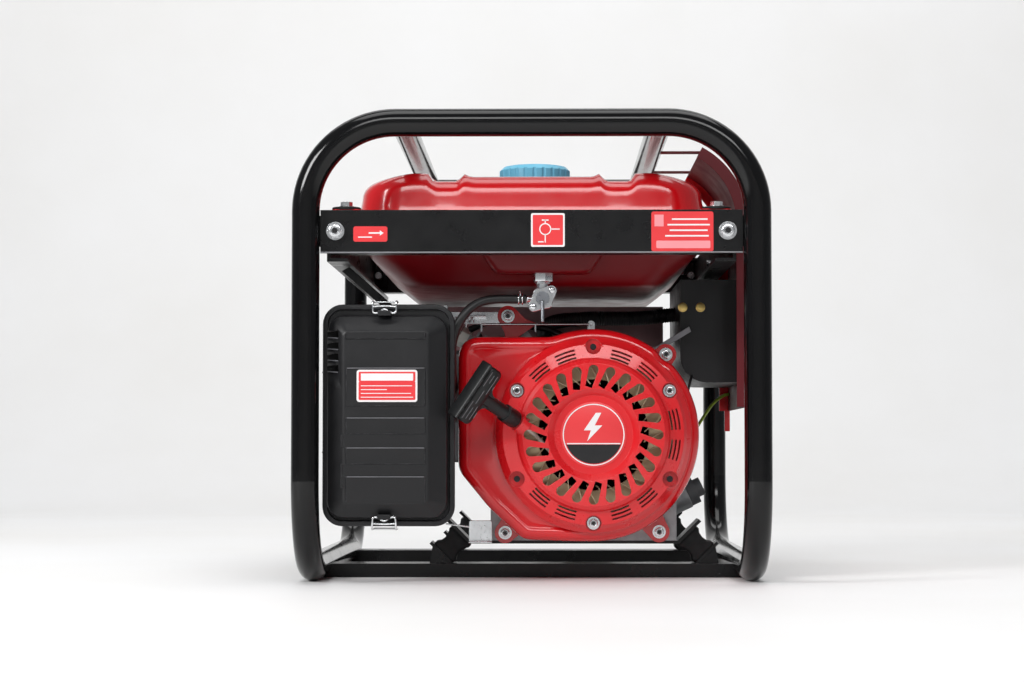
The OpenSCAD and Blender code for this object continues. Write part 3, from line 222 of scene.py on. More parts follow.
# plastic_grip's pale grey edge colour is a painted highlight on rounded edges.
add_finish("plastic_grip", (13, 15, 16), (0.3, 0.45), patch=40, grain=2200, grain_bump=0.25,
           edge=(120, 122, 124), edge_share=0.7, rounding=0.5, specular=0.4)
add_finish("plastic_grey", (72, 73, 75), (0.4, 0.55), patch=30, grain=1800, grain_bump=0.25)
add_finish("plastic_pale", (224, 221, 212), (0.25, 0.4), mottle=0.05, patch=20, grain=1500,
           grain_bump=0.12, dust=0.05)
add_finish("plastic_red", (170, 18, 22), (0.2, 0.35), mottle=0.06, grain=1200, grain_bump=0.1)
add_finish("plastic_blue", (92, 176, 206), (0.3, 0.45), mottle=0.08, patch=24, grain=1700,
           grain_bump=0.2, rounding=0.7, dust=0.05)
add_finish("fan_khaki", (206, 192, 156), (0.5, 0.65), mottle=0.1, patch=25, grain=1500,
           grain_bump=0.25)
add_finish("strainer", (214, 212, 200), (0.5, 0.6), grain=2400)
add_finish("foam", (104, 100, 86), (0.85, 0.95), mottle=0.3, patch=60, grain=700, grain_bump=1.0,
           specular=0.15)
add_finish("cord", (226, 222, 210), (0.7, 0.85), mottle=0.15, patch=90, grain=1500, grain_bump=0.7,
           sheen=0.3, specular=0.2)
add_finish("ceramic", (238, 236, 228), (0.12, 0.2), mottle=0.03, grain=500)
add_finish("label_red", (226, 58, 62), (0.3, 0.4), mottle=0.04, patch=30, grain=1500,
           grain_bump=0.06, rounding=0.1)
add_finish("label_white", (236, 232, 232), (0.32, 0.42), mottle=0.03, patch=30, grain=1500,
           grain_bump=0.06, rounding=0.1)
# Black for print, and for painted shade in holes, bolt wells and at the fuel tap.
add_finish("black_print_and_painted_shade", (24, 24, 26), (0.3, 0.4), mottle=0.06, patch=30, grain=1500,
           grain_bump=0.06, rounding=0.1)
add_finish("label_pink", (240, 150, 156), (0.32, 0.42), mottle=0.04, patch=30, grain=1500,
           grain_bump=0.06, rounding=0.1)
add_finish("wire_blue", (40, 78, 170), (0.35, 0.5), grain=1500)
add_finish("wire_green", (150, 170, 60), (0.35, 0.5), grain=1500, mottle=0.3, patch=200)
# Grey metal: the real colour of the shroud strap, and painted highlights on the grip's ribs and the
# rails' lips.
add_finish("grey_strap_and_painted_highlight", (138, 138, 142), (0.35, 0.5), metal=0.7, patch=30)
add_finish("dial", (240, 238, 230), (0.35, 0.45), mottle=0.03, grain=1200)

# Finishes of each CAD material slot; the first is for the CAD nodes, all are for pieces
SLOT_FINISHES = {
    "black_enamel": ("sheet_black",), "red_enamel": ("red_enamel", "tank_under_painted_shade", "label_red"),
    "zinc_plate": ("zinc", "yellow_zinc", "grey_strap_and_painted_highlight"), "cast_alloy": ("cast_alloy",),
    "ground_steel": ("ground_steel",), "wire_chrome": ("chrome_wire",),
    "black_rubber": ("rubber", "hose", "wire_blue", "wire_green"),
    "black_plastic": ("plastic_black", "plastic_painted_highlight", "plastic_painted_shade", "plastic_grip",
                      "black_print_and_painted_shade"),
    "grey_plastic": ("plastic_grey",), "red_plastic": ("plastic_red",),
    "pale_plastic": ("plastic_pale", "label_white", "label_pink", "dial"),
    "blue_plastic": ("plastic_blue",), "khaki_plastic": ("fan_khaki",),
    "mesh_plastic": ("strainer",), "filter_foam": ("foam",), "braided_cord": ("cord",),
    "heated_steel": ("hot_steel",), "cast_iron_black": ("dark_iron",),
    "copper_laminations": ("lamination", "copper"), "white_ceramic": ("ceramic",),
}
OF_SLOT = {slot: finishes[0] for slot, finishes in SLOT_FINISHES.items()}
SLOT_OF_FINISH = {finish: slot for slot, finishes in SLOT_FINISHES.items() for finish in finishes}
OF_NODE = {
    "front_hoop": "tube_black", "rear_hoop": "tube_black", "top_rails": "tube_black",
    "recoil_cover": "red_cover", "stator": "lamination", "pull_handle": "plastic_grip",
}
SLOT_OF = {s["node"]: s["material_slot"] for s in record["subparts"]}
for node, obj in frame["nodes"].items():
    finish = M[OF_NODE.get(node, OF_SLOT[SLOT_OF[node]])]
    if not obj.material_slots:
        obj.data.materials.append(finish)
    for place in obj.material_slots:
        place.material = finish


def second_finish(obj, finish, where):
    """Gives the faces of a piece that where() picks another finish."""
    mesh = obj.data
    mesh.materials.append(M[finish])
    for face in mesh.polygons:
        if where(face):
            face.material_index = len(mesh.materials) - 1


# Faces of the control panel that turn away from the right and from above take a dark red as painted
# shade.
second_finish(frame["nodes"]["control_panel"], "panel_inner_painted_shade",
              lambda face: face.normal.x + 0.6 * face.normal.z < 0.1 and face.center.y < 0.058)
# The muffler shield's front faces take zinc grey with a painted reflection of the red tank.
second_finish(frame["nodes"]["muffler_shield"], "zinc_painted_red_reflection", lambda face: face.center.y < 0.025)


# Mesh tools; every length below is in millimetres in the shared frame

FRONT, RIGHT, UP = (0, -1, 0), (1, 0, 0), (0, 0, 1)


def turns(count, closed=False):
    """Angles of count equal steps round a circle; closed repeats the first at the end."""
    return [2 * pi * k / count for k in range(count + closed)]


def add_piece(name, bm, finish, body=ROOT, slot=None, smooth=40, bevel=0.0):
    """Turns a bmesh in millimetres into a piece that rides on a body; a slot is worked out from
    its finish unless one is named, but it is not given to the piece."""
    bmesh.ops.scale(bm, vec=(MM, MM, MM), verts=bm.verts)
    bmesh.ops.recalc_face_normals(bm, faces=bm.faces)
    for face in bm.faces:
        face.smooth = True
    for edge in bm.edges:
        edge.smooth = not (edge.is_manifold and edge.calc_face_angle(0) > radians(smooth))
    mesh = bpy.data.meshes.new(name)
    bm.to_mesh(mesh)
    bm.free()
    obj = bpy.data.objects.new(name, mesh)
    bpy.context.scene.collection.objects.link(obj)
    obj.data.materials.append(M[finish])
    if bevel:
        modifier = obj.modifiers.new("bevel", "BEVEL")
        modifier.width = bevel * MM
        modifier.segments = 3
        modifier.limit_method = "ANGLE"
        modifier.angle_limit = radians(32)
        modifier.harden_normals = False
    if slot is None:
        slot = SLOT_OF_FINISH[finish]
    if body:
        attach(obj, body)
    return obj


def loft(bm, rings, cap_first=True, cap_last=True):
    """Skins closed rings of equal length; caps them with one face each."""
    made = [[bm.verts.new(p) for p in ring] for ring in rings]
    n = len(made[0])
    for a, b in zip(made, made[1:]):
        for i in range(n):
            j = (i + 1) % n
            bm.faces.new((a[i], a[j], b[j], b[i]))
    if cap_first:
        bm.faces.new(made[0][::-1])
    if cap_last:
        bm.faces.new(made[-1])
    return made


def round_rect(x0, x1, z0, z1, r, arc=7, side=1):
    """Points round a rectangle with rounded corners, with side spans on every straight."""
    r = max(0.01, min(r, (x1 - x0) / 2 - 0.01, (z1 - z0) / 2 - 0.01))
    corners = [(x1 - r, z0 + r, -90), (x1 - r, z1 - r, 0), (x0 + r, z1 - r, 90),
               (x0 + r, z0 + r, 180)]
    points = []
    for k, (cx, cz, start) in enumerate(corners):
        arc_points = [(cx + r * cos(radians(start + 90 * i / arc)),
                       cz + r * sin(radians(start + 90 * i / arc)))
                      for i in range(arc + 1)]
        points += arc_points
        nx, nz, turn = corners[(k + 1) % 4]
        nxt = (nx + r * cos(radians(turn)), nz + r * sin(radians(turn)))
        for i in range(1, side):
            t = i / side
            points.append((arc_points[-1][0] * (1 - t) + nxt[0] * t,
                           arc_points[-1][1] * (1 - t) + nxt[1] * t))
    return points


def facing(outline, y):
    """An X-Z outline as a ring at depth y."""
    return [(x, y, z) for x, z in outline]


def curve_through(points, step=4.0):
    """Catmull-Rom curve through points, sampled about every step."""
    pts = [Vector(p) for p in points]
    pts = [2 * pts[0] - pts[1]] + pts + [2 * pts[-1] - pts[-2]]
    out = []
    for a, b, c, d in zip(pts, pts[1:], pts[2:], pts[3:]):
        count = max(1, round((c - b).length / step))
        for i in range(count):
            t = i / count
            out.append(0.5 * (2 * b + (c - a) * t + (2 * a - 5 * b + 4 * c - d) * t * t
                              + (3 * b - a - 3 * c + d) * t ** 3))
    return out + [pts[-2]]


def sweep(bm, path, radius, sides=14):
    """Round tube along path; radius is a number or a function of the length so far."""
    tangent = [(path[min(i + 1, len(path) - 1)] - path[max(i - 1, 0)]).normalized()
               for i in range(len(path))]
    normal = tangent[0].orthogonal().normalized()
    rings, run = [], 0.0
    for i, (p, t) in enumerate(zip(path, tangent)):
        normal = (normal - t * normal.dot(t)).normalized()
        across = t.cross(normal)
        run += (p - path[i - 1]).length if i else 0
        r = radius(run) if callable(radius) else radius
        rings.append([p + r * (cos(a) * normal + sin(a) * across) for a in turns(sides)])
    return loft(bm, rings)


def tube_piece(name, points, radius, finish, body=ROOT, slot=None, sides=14, step=4.0, **more):
    bm = bmesh.new()
    sweep(bm, curve_through(points, step), radius, sides)
    return add_piece(name, bm, finish, body, slot, **more)


def prism(bm, outline, y0, y1):
    """Straight prism from an X-Z outline."""
    return loft(bm, [facing(outline, y0), facing(outline, y1)])


def slab(bm, x0, x1, y0, y1, z0, z1, r=0.0):
    outline = round_rect(x0, x1, z0, z1, r) if r else [(x0, z0), (x1, z0), (x1, z1), (x0, z1)]
    return prism(bm, outline, y0, y1)


def lathe(bm, profile, centre, axis, count=48):
    """Surface of revolution; profile is (radius, along) pairs, axis a unit vector."""
    axis = Vector(axis)
    side = axis.orthogonal().normalized()
    up = axis.cross(side)
    rings = [[Vector(centre) + axis * h + r * (cos(a) * side + sin(a) * up)
              for a in turns(count)] for r, h in profile]
    return loft(bm, rings)


def round_shaft(r, a):
    """X and Z of the point at radius r and angle a round the crankshaft."""
    return SHAFT_X + r * cos(a), SHAFT_Z + r * sin(a)


def flat_ring(bm, r0, r1, x, z, y0, y1, count):
    """Flat ring round (x, z) that faces forward."""
    rings = [[(x + r * cos(a), y, z + r * sin(a)) for a in turns(count)]
             for r, y in ((r0, y0), (r0, y1), (r1, y1), (r1, y0))]
    loft(bm, rings + [rings[0]], cap_first=False, cap_last=False)


# Fuel tank

under_lo, under_hi = box_mm("tank_lower_shell")
TANK_X = under_hi.x - 9.5
TANK_Y0, TANK_Y1 = under_lo.y + 8, under_hi.y - 8
SEAM_Z = under_hi.z
TANK_TOP = box_mm("tank_upper_shell")[1].z


def ease(t):
    t = min(1, max(0, t))
    return t * t * (3 - 2 * t)


def tank_crest(x):
    """Height of the tank's top across its width: sloping shoulders, a groove, a ridge, a flat."""
    a = abs(x)
    if a > 90:
        return TANK_TOP - 7.5 * (1 - ease((a - 90) / 6)) - 7 * ease((a - 104) / 52)
    if a > 69:
        return TANK_TOP - 7.5
    return TANK_TOP - 7.5 + 4.2 * ease((69 - a) / 6) + 2.6 * exp(-((a - 62) / 3.5) ** 2)


def tank_ring(inset, share, lift=0.0):
    outline = round_rect(-TANK_X + inset, TANK_X - inset, TANK_Y0 + inset, TANK_Y1 - inset,
                         max(6, 42 - 0.8 * inset), arc=9, side=56)
    return [(x, y, SEAM_Z + share * (tank_crest(x) - SEAM_Z) + lift) for x, y in outline]


def tank_top():
    rings = [tank_ring(-7.2, 0, 0.02), tank_ring(-8, 0, 0.5), tank_ring(-7.6, 0, 1.2),
             tank_ring(-2.5, 0, 1.3), tank_ring(-0.6, 0, 2.2), tank_ring(0, 0, 4)]
    rings += [tank_ring(0.7 * k, 0.1 + 0.13 * k) for k in range(1, 4)]
    for k in range(1, 9):
        a = radians(90 * k / 8)
        rings.append(tank_ring(2.4 + 15 * (1 - cos(a)), 0.53 + 0.47 * sin(a)))
    for inset in (22, 30, 38, 48, 60, 74, 90, 108, 126, 142, 152):
        rings.append(tank_ring(inset, 1))
    bm = bmesh.new()
    loft(bm, rings, cap_first=False)
    piece = add_piece("tank_top", bm, "red_enamel", smooth=60)
    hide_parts("tank_upper_shell")
    lugs = bmesh.new()
    for sx in (-1, 1):
        for y0, y1 in ((TANK_Y0 - 40, TANK_Y0 + 20), (TANK_Y1 - 20, TANK_Y1 + 46)):
            outline = [(sx * 166 + dx, y) for dx, y in round_rect(-14, 14, y0, y1, 6, arc=5)]
            loft(lugs, [[(x, y, z) for x, y in outline] for z in (SEAM_Z, SEAM_Z + 1.2)])
    add_piece("tank_lugs", lugs, "red_enamel")


def tank_bottom():
    steps = [(4, 3, 335.9), (4, 3, 318), (4.6, 3.4, 309), (7.5, 5, 303), (12, 9, 297.5),
             (30, 20, 283), (38, 25, 277), (43, 28.5, 273.6), (50, 34, 272.2), (62, 44, 272)]
    bm = bmesh.new()
    rings = []
    for dx, dy, z in steps:
        outline = round_rect(-TANK_X + dx, TANK_X - dx, TANK_Y0 + dy, TANK_Y1 - dy,
                             max(20, 40 - 0.4 * dx), arc=9, side=8)
        rings.append([(x, y, z) for x, y in outline])
    loft(bm, rings)
    sump = []
    for x0, x1, y0, y1, z, r in ((-54, 74, -243.5, -172, 314, 10), (-50, 70, -243.5, -174, 306, 10),
                                 (-36, 56, -243.5, -182, 286, 9), (-33, 53, -241.5, -184, 283, 9),
                                 (-28, 48, -237, -188, 282.1, 8)):
        sump.append([(x, y, z) for x, y in round_rect(x0, x1, y0, y1, r)])
    loft(bm, sump)
    # The whole lower shell takes the darker red, painted shade under the tank.
    piece = add_piece("tank_bottom", bm, "tank_under_painted_shade", smooth=60)
    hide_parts("tank_lower_shell")


# Engine's fan housing

shaft_lo, shaft_hi = box_mm("flywheel")
SHAFT_X = (shaft_lo.x + shaft_hi.x) / 2
SHAFT_Z = (shaft_lo.z + shaft_hi.z) / 2
house_lo, house_hi = box_mm("fan_housing")
HOUSE_FRONT, HOUSE_BACK = house_lo.y, house_hi.y
HOUSE_R = 98.0
HOUSE_BOLTS = [(-25.6, 42.6), (119.7, 43.5), (126.5, 211), (-23, 247.5)]
HOUSE_SIDE = [(-68, 215), (-68, 102), (-40, 68), (-8, 38), (40, 36.5)]


def housing_reach(angle):
    """Distance from the shaft to the housing's outline."""
    dx, dz = cos(angle), sin(angle)
    reach = HOUSE_R
    corners = [(SHAFT_X, 225), (-58, 225)] + HOUSE_SIDE + [(SHAFT_X, 36.5)]
    for (ax, az), (bx, bz) in zip(corners, corners[1:]):
        ex, ez = bx - ax, bz - az
        det = dx * -ez + dz * ex
        if abs(det) < 1e-9:
            continue
        wx, wz = ax - SHAFT_X, az - SHAFT_Z
        t = (wx * -ez + wz * ex) / det
        u = (dx * wz - dz * wx) / det
        if t > 0 and -1e-6 <= u <= 1 + 1e-6:
            reach = max(reach, t)
    for px, pz in HOUSE_BOLTS:
        wx, wz = px - SHAFT_X, pz - SHAFT_Z
        along = wx * dx + wz * dz
        off = abs(wx * dz - wz * dx)
        if along > 0 and off < 9:
            reach = min(reach, along - sqrt(81 - off * off))
    return reach


def housing_outline(inset, count=288, soften=5):
    """The softened outline, moved inwards by inset."""
    reach = [housing_reach(a) for a in turns(count)]
    for _ in range(soften):
        reach = [0.25 * reach[k - 1] + 0.5 * reach[k] + 0.25 * reach[(k + 1) % count]
                 for k in range(count)]
    points = [round_shaft(r, a) for r, a in zip(reach, turns(count))]
    moved = []
    for k, (x, z) in enumerate(points):
        (ax, az), (bx, bz) = points[k - 1], points[(k + 1) % count]
        tx, tz = bx - ax, bz - az
        length = hypot(tx, tz)
        moved.append((x - tz / length * inset, z + tx / length * inset))
    return moved


def toward_circle(outline, share, r=88.0):
    """The outline moved by a share of the way to a circle round the shaft."""
    out = []
    for x, z in outline:
        length = hypot(x - SHAFT_X, z - SHAFT_Z)
        cx, cz = SHAFT_X + (x - SHAFT_X) / length * r, SHAFT_Z + (z - SHAFT_Z) / length * r
        out.append((x + (cx - x) * share, z + (cz - z) * share))
    return out


def fan_housing():
    front, back = HOUSE_FRONT, HOUSE_BACK
    bm = bmesh.new()
    rings = [facing(housing_outline(2), back), facing(housing_outline(0), back),
             facing(housing_outline(0), front + 9)]
    for k in range(1, 6):
        a = radians(90 * k / 5)
        rings.append(facing(housing_outline(8 * (1 - cos(a))), front + 9 - 8.6 * sin(a)))
    inner = housing_outline(9.5)
    rings += [facing(inner, front + 0.5), facing(housing_outline(11), front + 1.6),
              facing(housing_outline(12.5), front + 2.2)]
    flat = housing_outline(12.5)
    for share, depth in ((0.35, 2.2), (0.7, 2.0), (0.86, 1.2), (0.94, 0.3), (1.0, 0.2)):
        rings.append(facing(toward_circle(flat, share), front + depth))
    rings.append(facing(toward_circle(flat, 1.0, 76), front + 0.4))
    rings.append(facing(toward_circle(flat, 1.0, 76), front + 2.4))
    loft(bm, rings, cap_first=False, cap_last=False)
    for px, pz in HOUSE_BOLTS:
        away = Vector((px - SHAFT_X, 0, pz - SHAFT_Z)).normalized()
        across = Vector((-away.z, 0, away.x))
        centre = Vector((px, 0, pz))
        outline = [centre + 10 * (cos(a) * away + sin(a) * across)
                   for a in (radians(-90 + 15 * k) for k in range(13))]
        outline += [centre - 12 * away + 12 * across, centre - 22 * away + 19 * across,
                    centre - 22 * away - 19 * across, centre - 12 * away - 12 * across]
        prism(bm, [(p.x, p.z) for p in outline], back - 4, back)
    piece = add_piece("housing_shroud", bm, "red_enamel", smooth=50)
    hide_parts("fan_housing")


def starter_insides():
    """Fan ring with slanting blades behind the face slots, and black discs that paint the shade in
    the spare holes.
    """
    ring = bmesh.new()
    lathe(ring, [(51, 0), (51, 1.2), (71, 1.2), (71, 0), (51, 0)], (SHAFT_X, -221.5, SHAFT_Z),
          FRONT, 72)
    for a in turns(32):
        c, s = cos(a), sin(a)
        blade = [(SHAFT_X + r * c - t * s, SHAFT_Z + r * s + t * c)
                 for r, t in ((46, -7), (71, 6), (71, 7.1), (46, -5.9))]
        prism(ring, blade, -228.6, -222)
    add_piece("fan_face", ring, "fan_khaki", "crank", smooth=30)
    # Black discs at the spare holes are painted shade.
    holes = bmesh.new()
    for a in (90, 210, 330):
        x, z = round_shaft(81, radians(a))
        lathe(holes, [(2.8, 0), (2.8, 0.3), (0.01, 0.3)], (x, -218.6, z), FRONT, 24)
    add_piece("spare_hole_painted_shade", holes, "black_print_and_painted_shade")


def bolt_dishes():
    """Dished middles in the bolt heads that face forward, with black discs in their wells as
    painted shade.
    """
    rims, wells = bmesh.new(), bmesh.new()
    heads = [(x, box_mm("frame_bolts")[0].y, 317, 5.6) for x in (-176, 176)]
    heads += [(x, -158.8, z, 4.2) for x, z in HOUSE_BOLTS]
    for a in (30, 150, 270):
        x, z = round_shaft(81, radians(a))
        heads.append((x, -223, z, 3.9))
    for x, y, z, r in heads:
        lathe(rims, [(r, 0), (r, 0.4), (r - 0.5, 0.8), (r * 0.62, 0.8), (r * 0.5, 0.1)],
              (x, y, z), FRONT, 28)
        # Black discs paint the shade in the middle of each bolt head.
        lathe(wells, [(r * 0.5, 0), (r * 0.5, 0.12), (0.01, 0.12)], (x, y, z), FRONT, 6)
    add_piece("bolt_rims", rims, "zinc")
    add_piece("bolt_well_painted_shade", wells, "black_print_and_painted_shade", slot="zinc_plate")


def recoil_badge():
    """Plain round badge with a lightning sign and a dark foot."""
    y = -234.0
    disc = bmesh.new()
    lathe(disc, [(30, 0), (30, 0.5), (29.6, 0.7), (0.01, 0.7)], (SHAFT_X, y, SHAFT_Z), FRONT, 72)
    add_piece("badge_disc", disc, "label_red")
    ring = bmesh.new()
    flat_ring(ring, 27.2, 28.2, SHAFT_X, SHAFT_Z, y - 0.6, y - 0.95, 72)
    add_piece("badge_ring", ring, "label_white")
    foot = bmesh.new()
    arc = [round_shaft(26.4, radians(a)) for a in range(200, 341, 5)]
    prism(foot, arc, y - 0.95, y - 0.6)
    add_piece("badge_foot", foot, "black_print_and_painted_shade")
    line = bmesh.new()
    slab(line, SHAFT_X - 24.4, SHAFT_X + 24.4, y - 1.0, y - 0.6, SHAFT_Z - 8.6, SHAFT_Z - 7.6)
    bolt = [(2, 20), (-9, 4), (-2.5, 4), (-6, -6), (8, 8.5), (1, 8.5), (7, 20)]
    prism(line, [(SHAFT_X + x, SHAFT_Z + z) for x, z in bolt], y - 1.05, y - 0.6)
    add_piece("badge_sign", line, "label_white")


# Air cleaner

CASE_LO, CASE_HI = box_mm("air_cleaner_case")
CLIP_X = -132.0


def case_outline(g):
    """The case's outline, grown by g."""
    return round_rect(CASE_LO.x - g, CASE_HI.x + g, CASE_LO.z - g, CASE_HI.z + g, 18 + g,
                      arc=9, side=4)


def cleaner_case():
    front, back = CASE_LO.y, CASE_HI.y
    bm = bmesh.new()
    steps = [(-14, back), (-11, back - 0.8), (-9.6, back - 3), (-9, back - 7), (-8, front + 18),
             (-8, front + 7.5), (-6.5, front + 5), (-1.2, front + 4.6), (0, front + 3.4),
             (0, front + 1.2), (-0.8, front + 0.3), (-2.4, front), (-4.2, front), (-5, front + 0.8),
             (-5.2, front + 3.5), (-12, front + 4)]
    loft(bm, [facing(case_outline(g), y) for g, y in steps])
    for z in (118, 190):
        slab(bm, CASE_LO.x - 0.35, CASE_LO.x + 1, front + 0.6, front + 4, z, z + 1.2)
    piece = add_piece("cleaner_box", bm, "plastic_black", smooth=35)
    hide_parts("air_cleaner_case")
    keeper = bmesh.new()
    for z in (CASE_LO.z + 1, CASE_HI.z - 10):
        slab(keeper, CLIP_X - 8, CLIP_X + 8, front + 3.5, front + 10, z, z + 9)
    add_piece("clip_keepers", keeper, "plastic_black", bevel=0.8)


def cleaner_cover():
    """Domed cover: wide chamfers round a panel, with four louvres cut through one of them."""
    bm = bmesh.new()
    panel = (-168.5, -92.5, 72, 227)
    skirt = (-184, -75.5, 59.5, 241.5)

    def between(t, shrink=0.0):
        a = [s + (p - s) * t for s, p in zip(skirt, panel)]
        return a[0] + shrink, a[1] - shrink, a[2] + shrink, a[3] - shrink

    steps = [(0, 0, -265.3), (0, 0, -268.6), (0, 0.6, -269.8), (0.06, 0, -271), (0.5, 0, -275.6),
             (0.9, 0, -279.8), (0.97, 0, -280.6), (1, 0.6, -281), (1, 1.6, -281.1)]
    rings = []
    for t, shrink, y in steps:
        x0, x1, z0, z1 = between(t, shrink)
        rings.append(facing(round_rect(x0, x1, z0, z1, 15 - 10 * t, arc=8, side=3), y))
    loft(bm, rings)
    cover = add_piece("cleaner_cover", bm, "plastic_black", "cleaner_lid", smooth=28)
    cuts = bmesh.new()
    for k in range(4):
        z = 190.5 + 10.2 * k
        loft(cuts, [[(-185, y, z + 1), (-173.2, y, z), (-173.2, y, z + 6.6), (-184, y, z + 5.4)]
                    for y in (-290, -268.2)])
    cutter = add_piece("louvre_cutter", cuts, "plastic_black", body=None, slot="")
    modifier = cover.modifiers.new("louvres", "BOOLEAN")
    modifier.operation = "DIFFERENCE"
    modifier.solver = "EXACT"
    modifier.object = cutter
    apply_modifiers(cover)
    bpy.data.objects.remove(cutter)
    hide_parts("air_cleaner_cover")


def cover_panel():
    """Stepped panel on the cover, with pale ridges and louvre lips that are painted highlights,
    recessed bands and a sheet behind the louvres that are painted shade, and lugs.
    """
    rows = [(226, 282.2), (220.4, 282.2), (219.4, 281.0), (194.6, 281.0), (194, 281.7),
            (160, 281.7), (159.4, 280.2), (150, 280.2), (149.2, 281.9), (148.4, 281.7),
            (135, 281.7), (134.4, 280.2), (123.2, 280.2), (122.4, 281.9), (121.6, 281.7),
            (108, 281.7), (107.4, 280.2), (97.4, 280.2), (96.6, 281.9), (95.8, 281.7),
            (76, 281.7), (74, 281.2)]
    plate = bmesh.new()
    left, right = -166.5, -94.5
    lines = []
    for x, drop in ((left, 0.8), (left + 0.8, 0), (right - 0.8, 0), (right, 0.8)):
        lines.append([plate.verts.new((x, -y + drop, z)) for z, y in rows])
    for a, b in zip(lines, lines[1:]):
        for k in range(len(rows) - 1):
            plate.faces.new((a[k], a[k + 1], b[k + 1], b[k]))
    for line in (lines[0], lines[-1]):
        back = [plate.verts.new((v.co.x, -279.5, v.co.z)) for v in line]
        for k in range(len(rows) - 1):
            plate.faces.new((line[k], line[k + 1], back[k + 1], back[k]))
    piece = add_piece("cover_panel", plate, "plastic_black", "cleaner_lid", smooth=20)
    # The recessed bands' front faces take painted shade.
    second_finish(piece, "plastic_painted_shade",
                  lambda face: -0.2809 < face.center.y < -0.28 and face.normal.y < -0.8)
    # Pale ridges and louvre lips are painted highlights on the panel's ledges.
    ridges = bmesh.new()
    for z in (193.8, 149.2, 122.4, 96.6):
        slab(ridges, left + 1.5, right - 1.5, -282.3, -281.4, z - 0.45, z + 0.45)
    for k in range(4):
        z = 190.5 + 10.2 * k
        loft(ridges, [[(x, y + 1.6, low), (x, y, low), (x, y, low + 1), (x, y + 1.6, low + 1)]
                      for x, y, low in ((-183.6, -271.9, z + 0.2), (-173.4, -278.2, z - 0.8))])
    add_piece("cover_ridges", ridges, "plastic_painted_highlight", "cleaner_lid")
    # A near-black sheet behind the louvres paints the shade seen through them.
    dark = bmesh.new()
    slab(dark, -183, -172.4, -268.6, -268, 189, 229)
    add_piece("louvre_painted_shade", dark, "plastic_painted_shade", "cleaner_lid")
    tabs = bmesh.new()
    for z in (134, 108, 97.4):
        slab(tabs, -170.6, -168.4, -281.2, -279.4, z - 11, z)
    for z in (60.5, 243.5):
        slab(tabs, CLIP_X - 6, CLIP_X + 6, -278.4, -269, z - 2.3, z + 2.3, 0.8)
    add_piece("cover_lugs", tabs, "plastic_black", "cleaner_lid", bevel=0.4)


def cleaner_label():
    label = bmesh.new()
    slab(label, -156.4, -102, -282.05, -281.5, 163.5, 192.3, 2.4)
    add_piece("cleaner_label_edge", label, "label_white", "cleaner_lid")
    label = bmesh.new()
    slab(label, -154.6, -103.8, -282.25, -281.9, 165.3, 181.8, 1)
    slab(label, -154.6, -103.8, -282.25, -281.9, 181.8, 190.5, 1)
    add_piece("cleaner_label_field", label, "label_red", "cleaner_lid")
    label = bmesh.new()
    slab(label, -152.6, -105.8, -282.4, -282.1, 182.6, 189)
    for k, share in enumerate((1, 0.96, 0.5, 0.98)):
        z = 167.4 + 3.4 * k
        slab(label, -152.6, -152.6 + 46.8 * share, -282.4, -282.1, z, z + 0.7)
    add_piece("cleaner_label_lines", label, "label_white", "cleaner_lid")


def apply_modifiers(obj):
    dg = bpy.context.evaluated_depsgraph_get()
    mesh = bpy.data.meshes.new_from_object(obj.evaluated_get(dg))
    obj.modifiers.clear()
    obj.data = mesh


def wire_bail(name, node, z, s, body):
    """Bent wire clip that follows its CAD clip, with a kinked finger loop at the front."""
    y_front, y_back, top = -276.5, -258.0, z + s * 10.8
    half = [(10.6, y_back, top), (10.6, -271, top), (10.6, -275.6, top - s * 0.4),
            (10.6, -276.8, top - s * 3), (10.4, -276.9, z + s * 2), (9, -276.9, z),
            (5, -277, z + s * 0.6)]
    loop = [(CLIP_X - dx, y, h) for dx, y, h in half] + [(CLIP_X, -277.4, z + s * 3.4)]
    loop += [(CLIP_X + dx, y, h) for dx, y, h in half[::-1]]
    bm = bmesh.new()
    sweep(bm, curve_through(loop, 1.0), 0.95, 12)
    sweep(bm, curve_through([(CLIP_X - 11.2, y_back, top), (CLIP_X, y_back - 0.3, top),
                             (CLIP_X + 11.2, y_back, top)], 2.0), 0.95, 12)
    sweep(bm, curve_through([(CLIP_X - 11, y_front - 0.4, z + s * 5.6),
                             (CLIP_X - 4, y_front - 0.6, z + s * 6.2),
                             (CLIP_X + 4, y_front - 0.6, z + s * 6.2),
                             (CLIP_X + 11, y_front - 0.4, z + s * 5.6)], 1.5), 0.8, 10)
    piece = add_piece(name, bm, "chrome_wire", body, smooth=60)
    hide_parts(node)


# Starter handle and rope

PULL_AT_REST = Vector((-0.617, -0.669, 0.416))
PULL = PULL_AT_REST.normalized()
HANDLE_AT = Vector((-50, -277, 171.5))
BAR = Vector((0.56, 0, 0.83))
BAR = (BAR - PULL * BAR.dot(PULL)).normalized()
FLAT = PULL.cross(BAR)
ROPE_EXIT = HANDLE_AT - 61 * PULL_AT_REST


def on_handle(p, b, t):
    """Point p along the pull, b along the grip and t across it."""
    return HANDLE_AT + p * PULL + b * BAR + t * FLAT


def grip_block(bm, p0, p1, b0, b1, t0, t1, r, taper=0.0):
    rings = []
    for t, inset in ((t0, 1.6), (t0 + 1.2, 0.3), (t0 + 2.4, 0), (t1 - 2.4, 0), (t1 - 1.2, 0.3),
                     (t1, 1.6)):
        outline = round_rect(p0 + inset, p1 - inset, b0 + inset, b1 - inset, r)
        rings.append([on_handle(p, b * (1 - taper * (p - p0) / (p1 - p0)), t) for p, b in outline])
    loft(bm, rings)


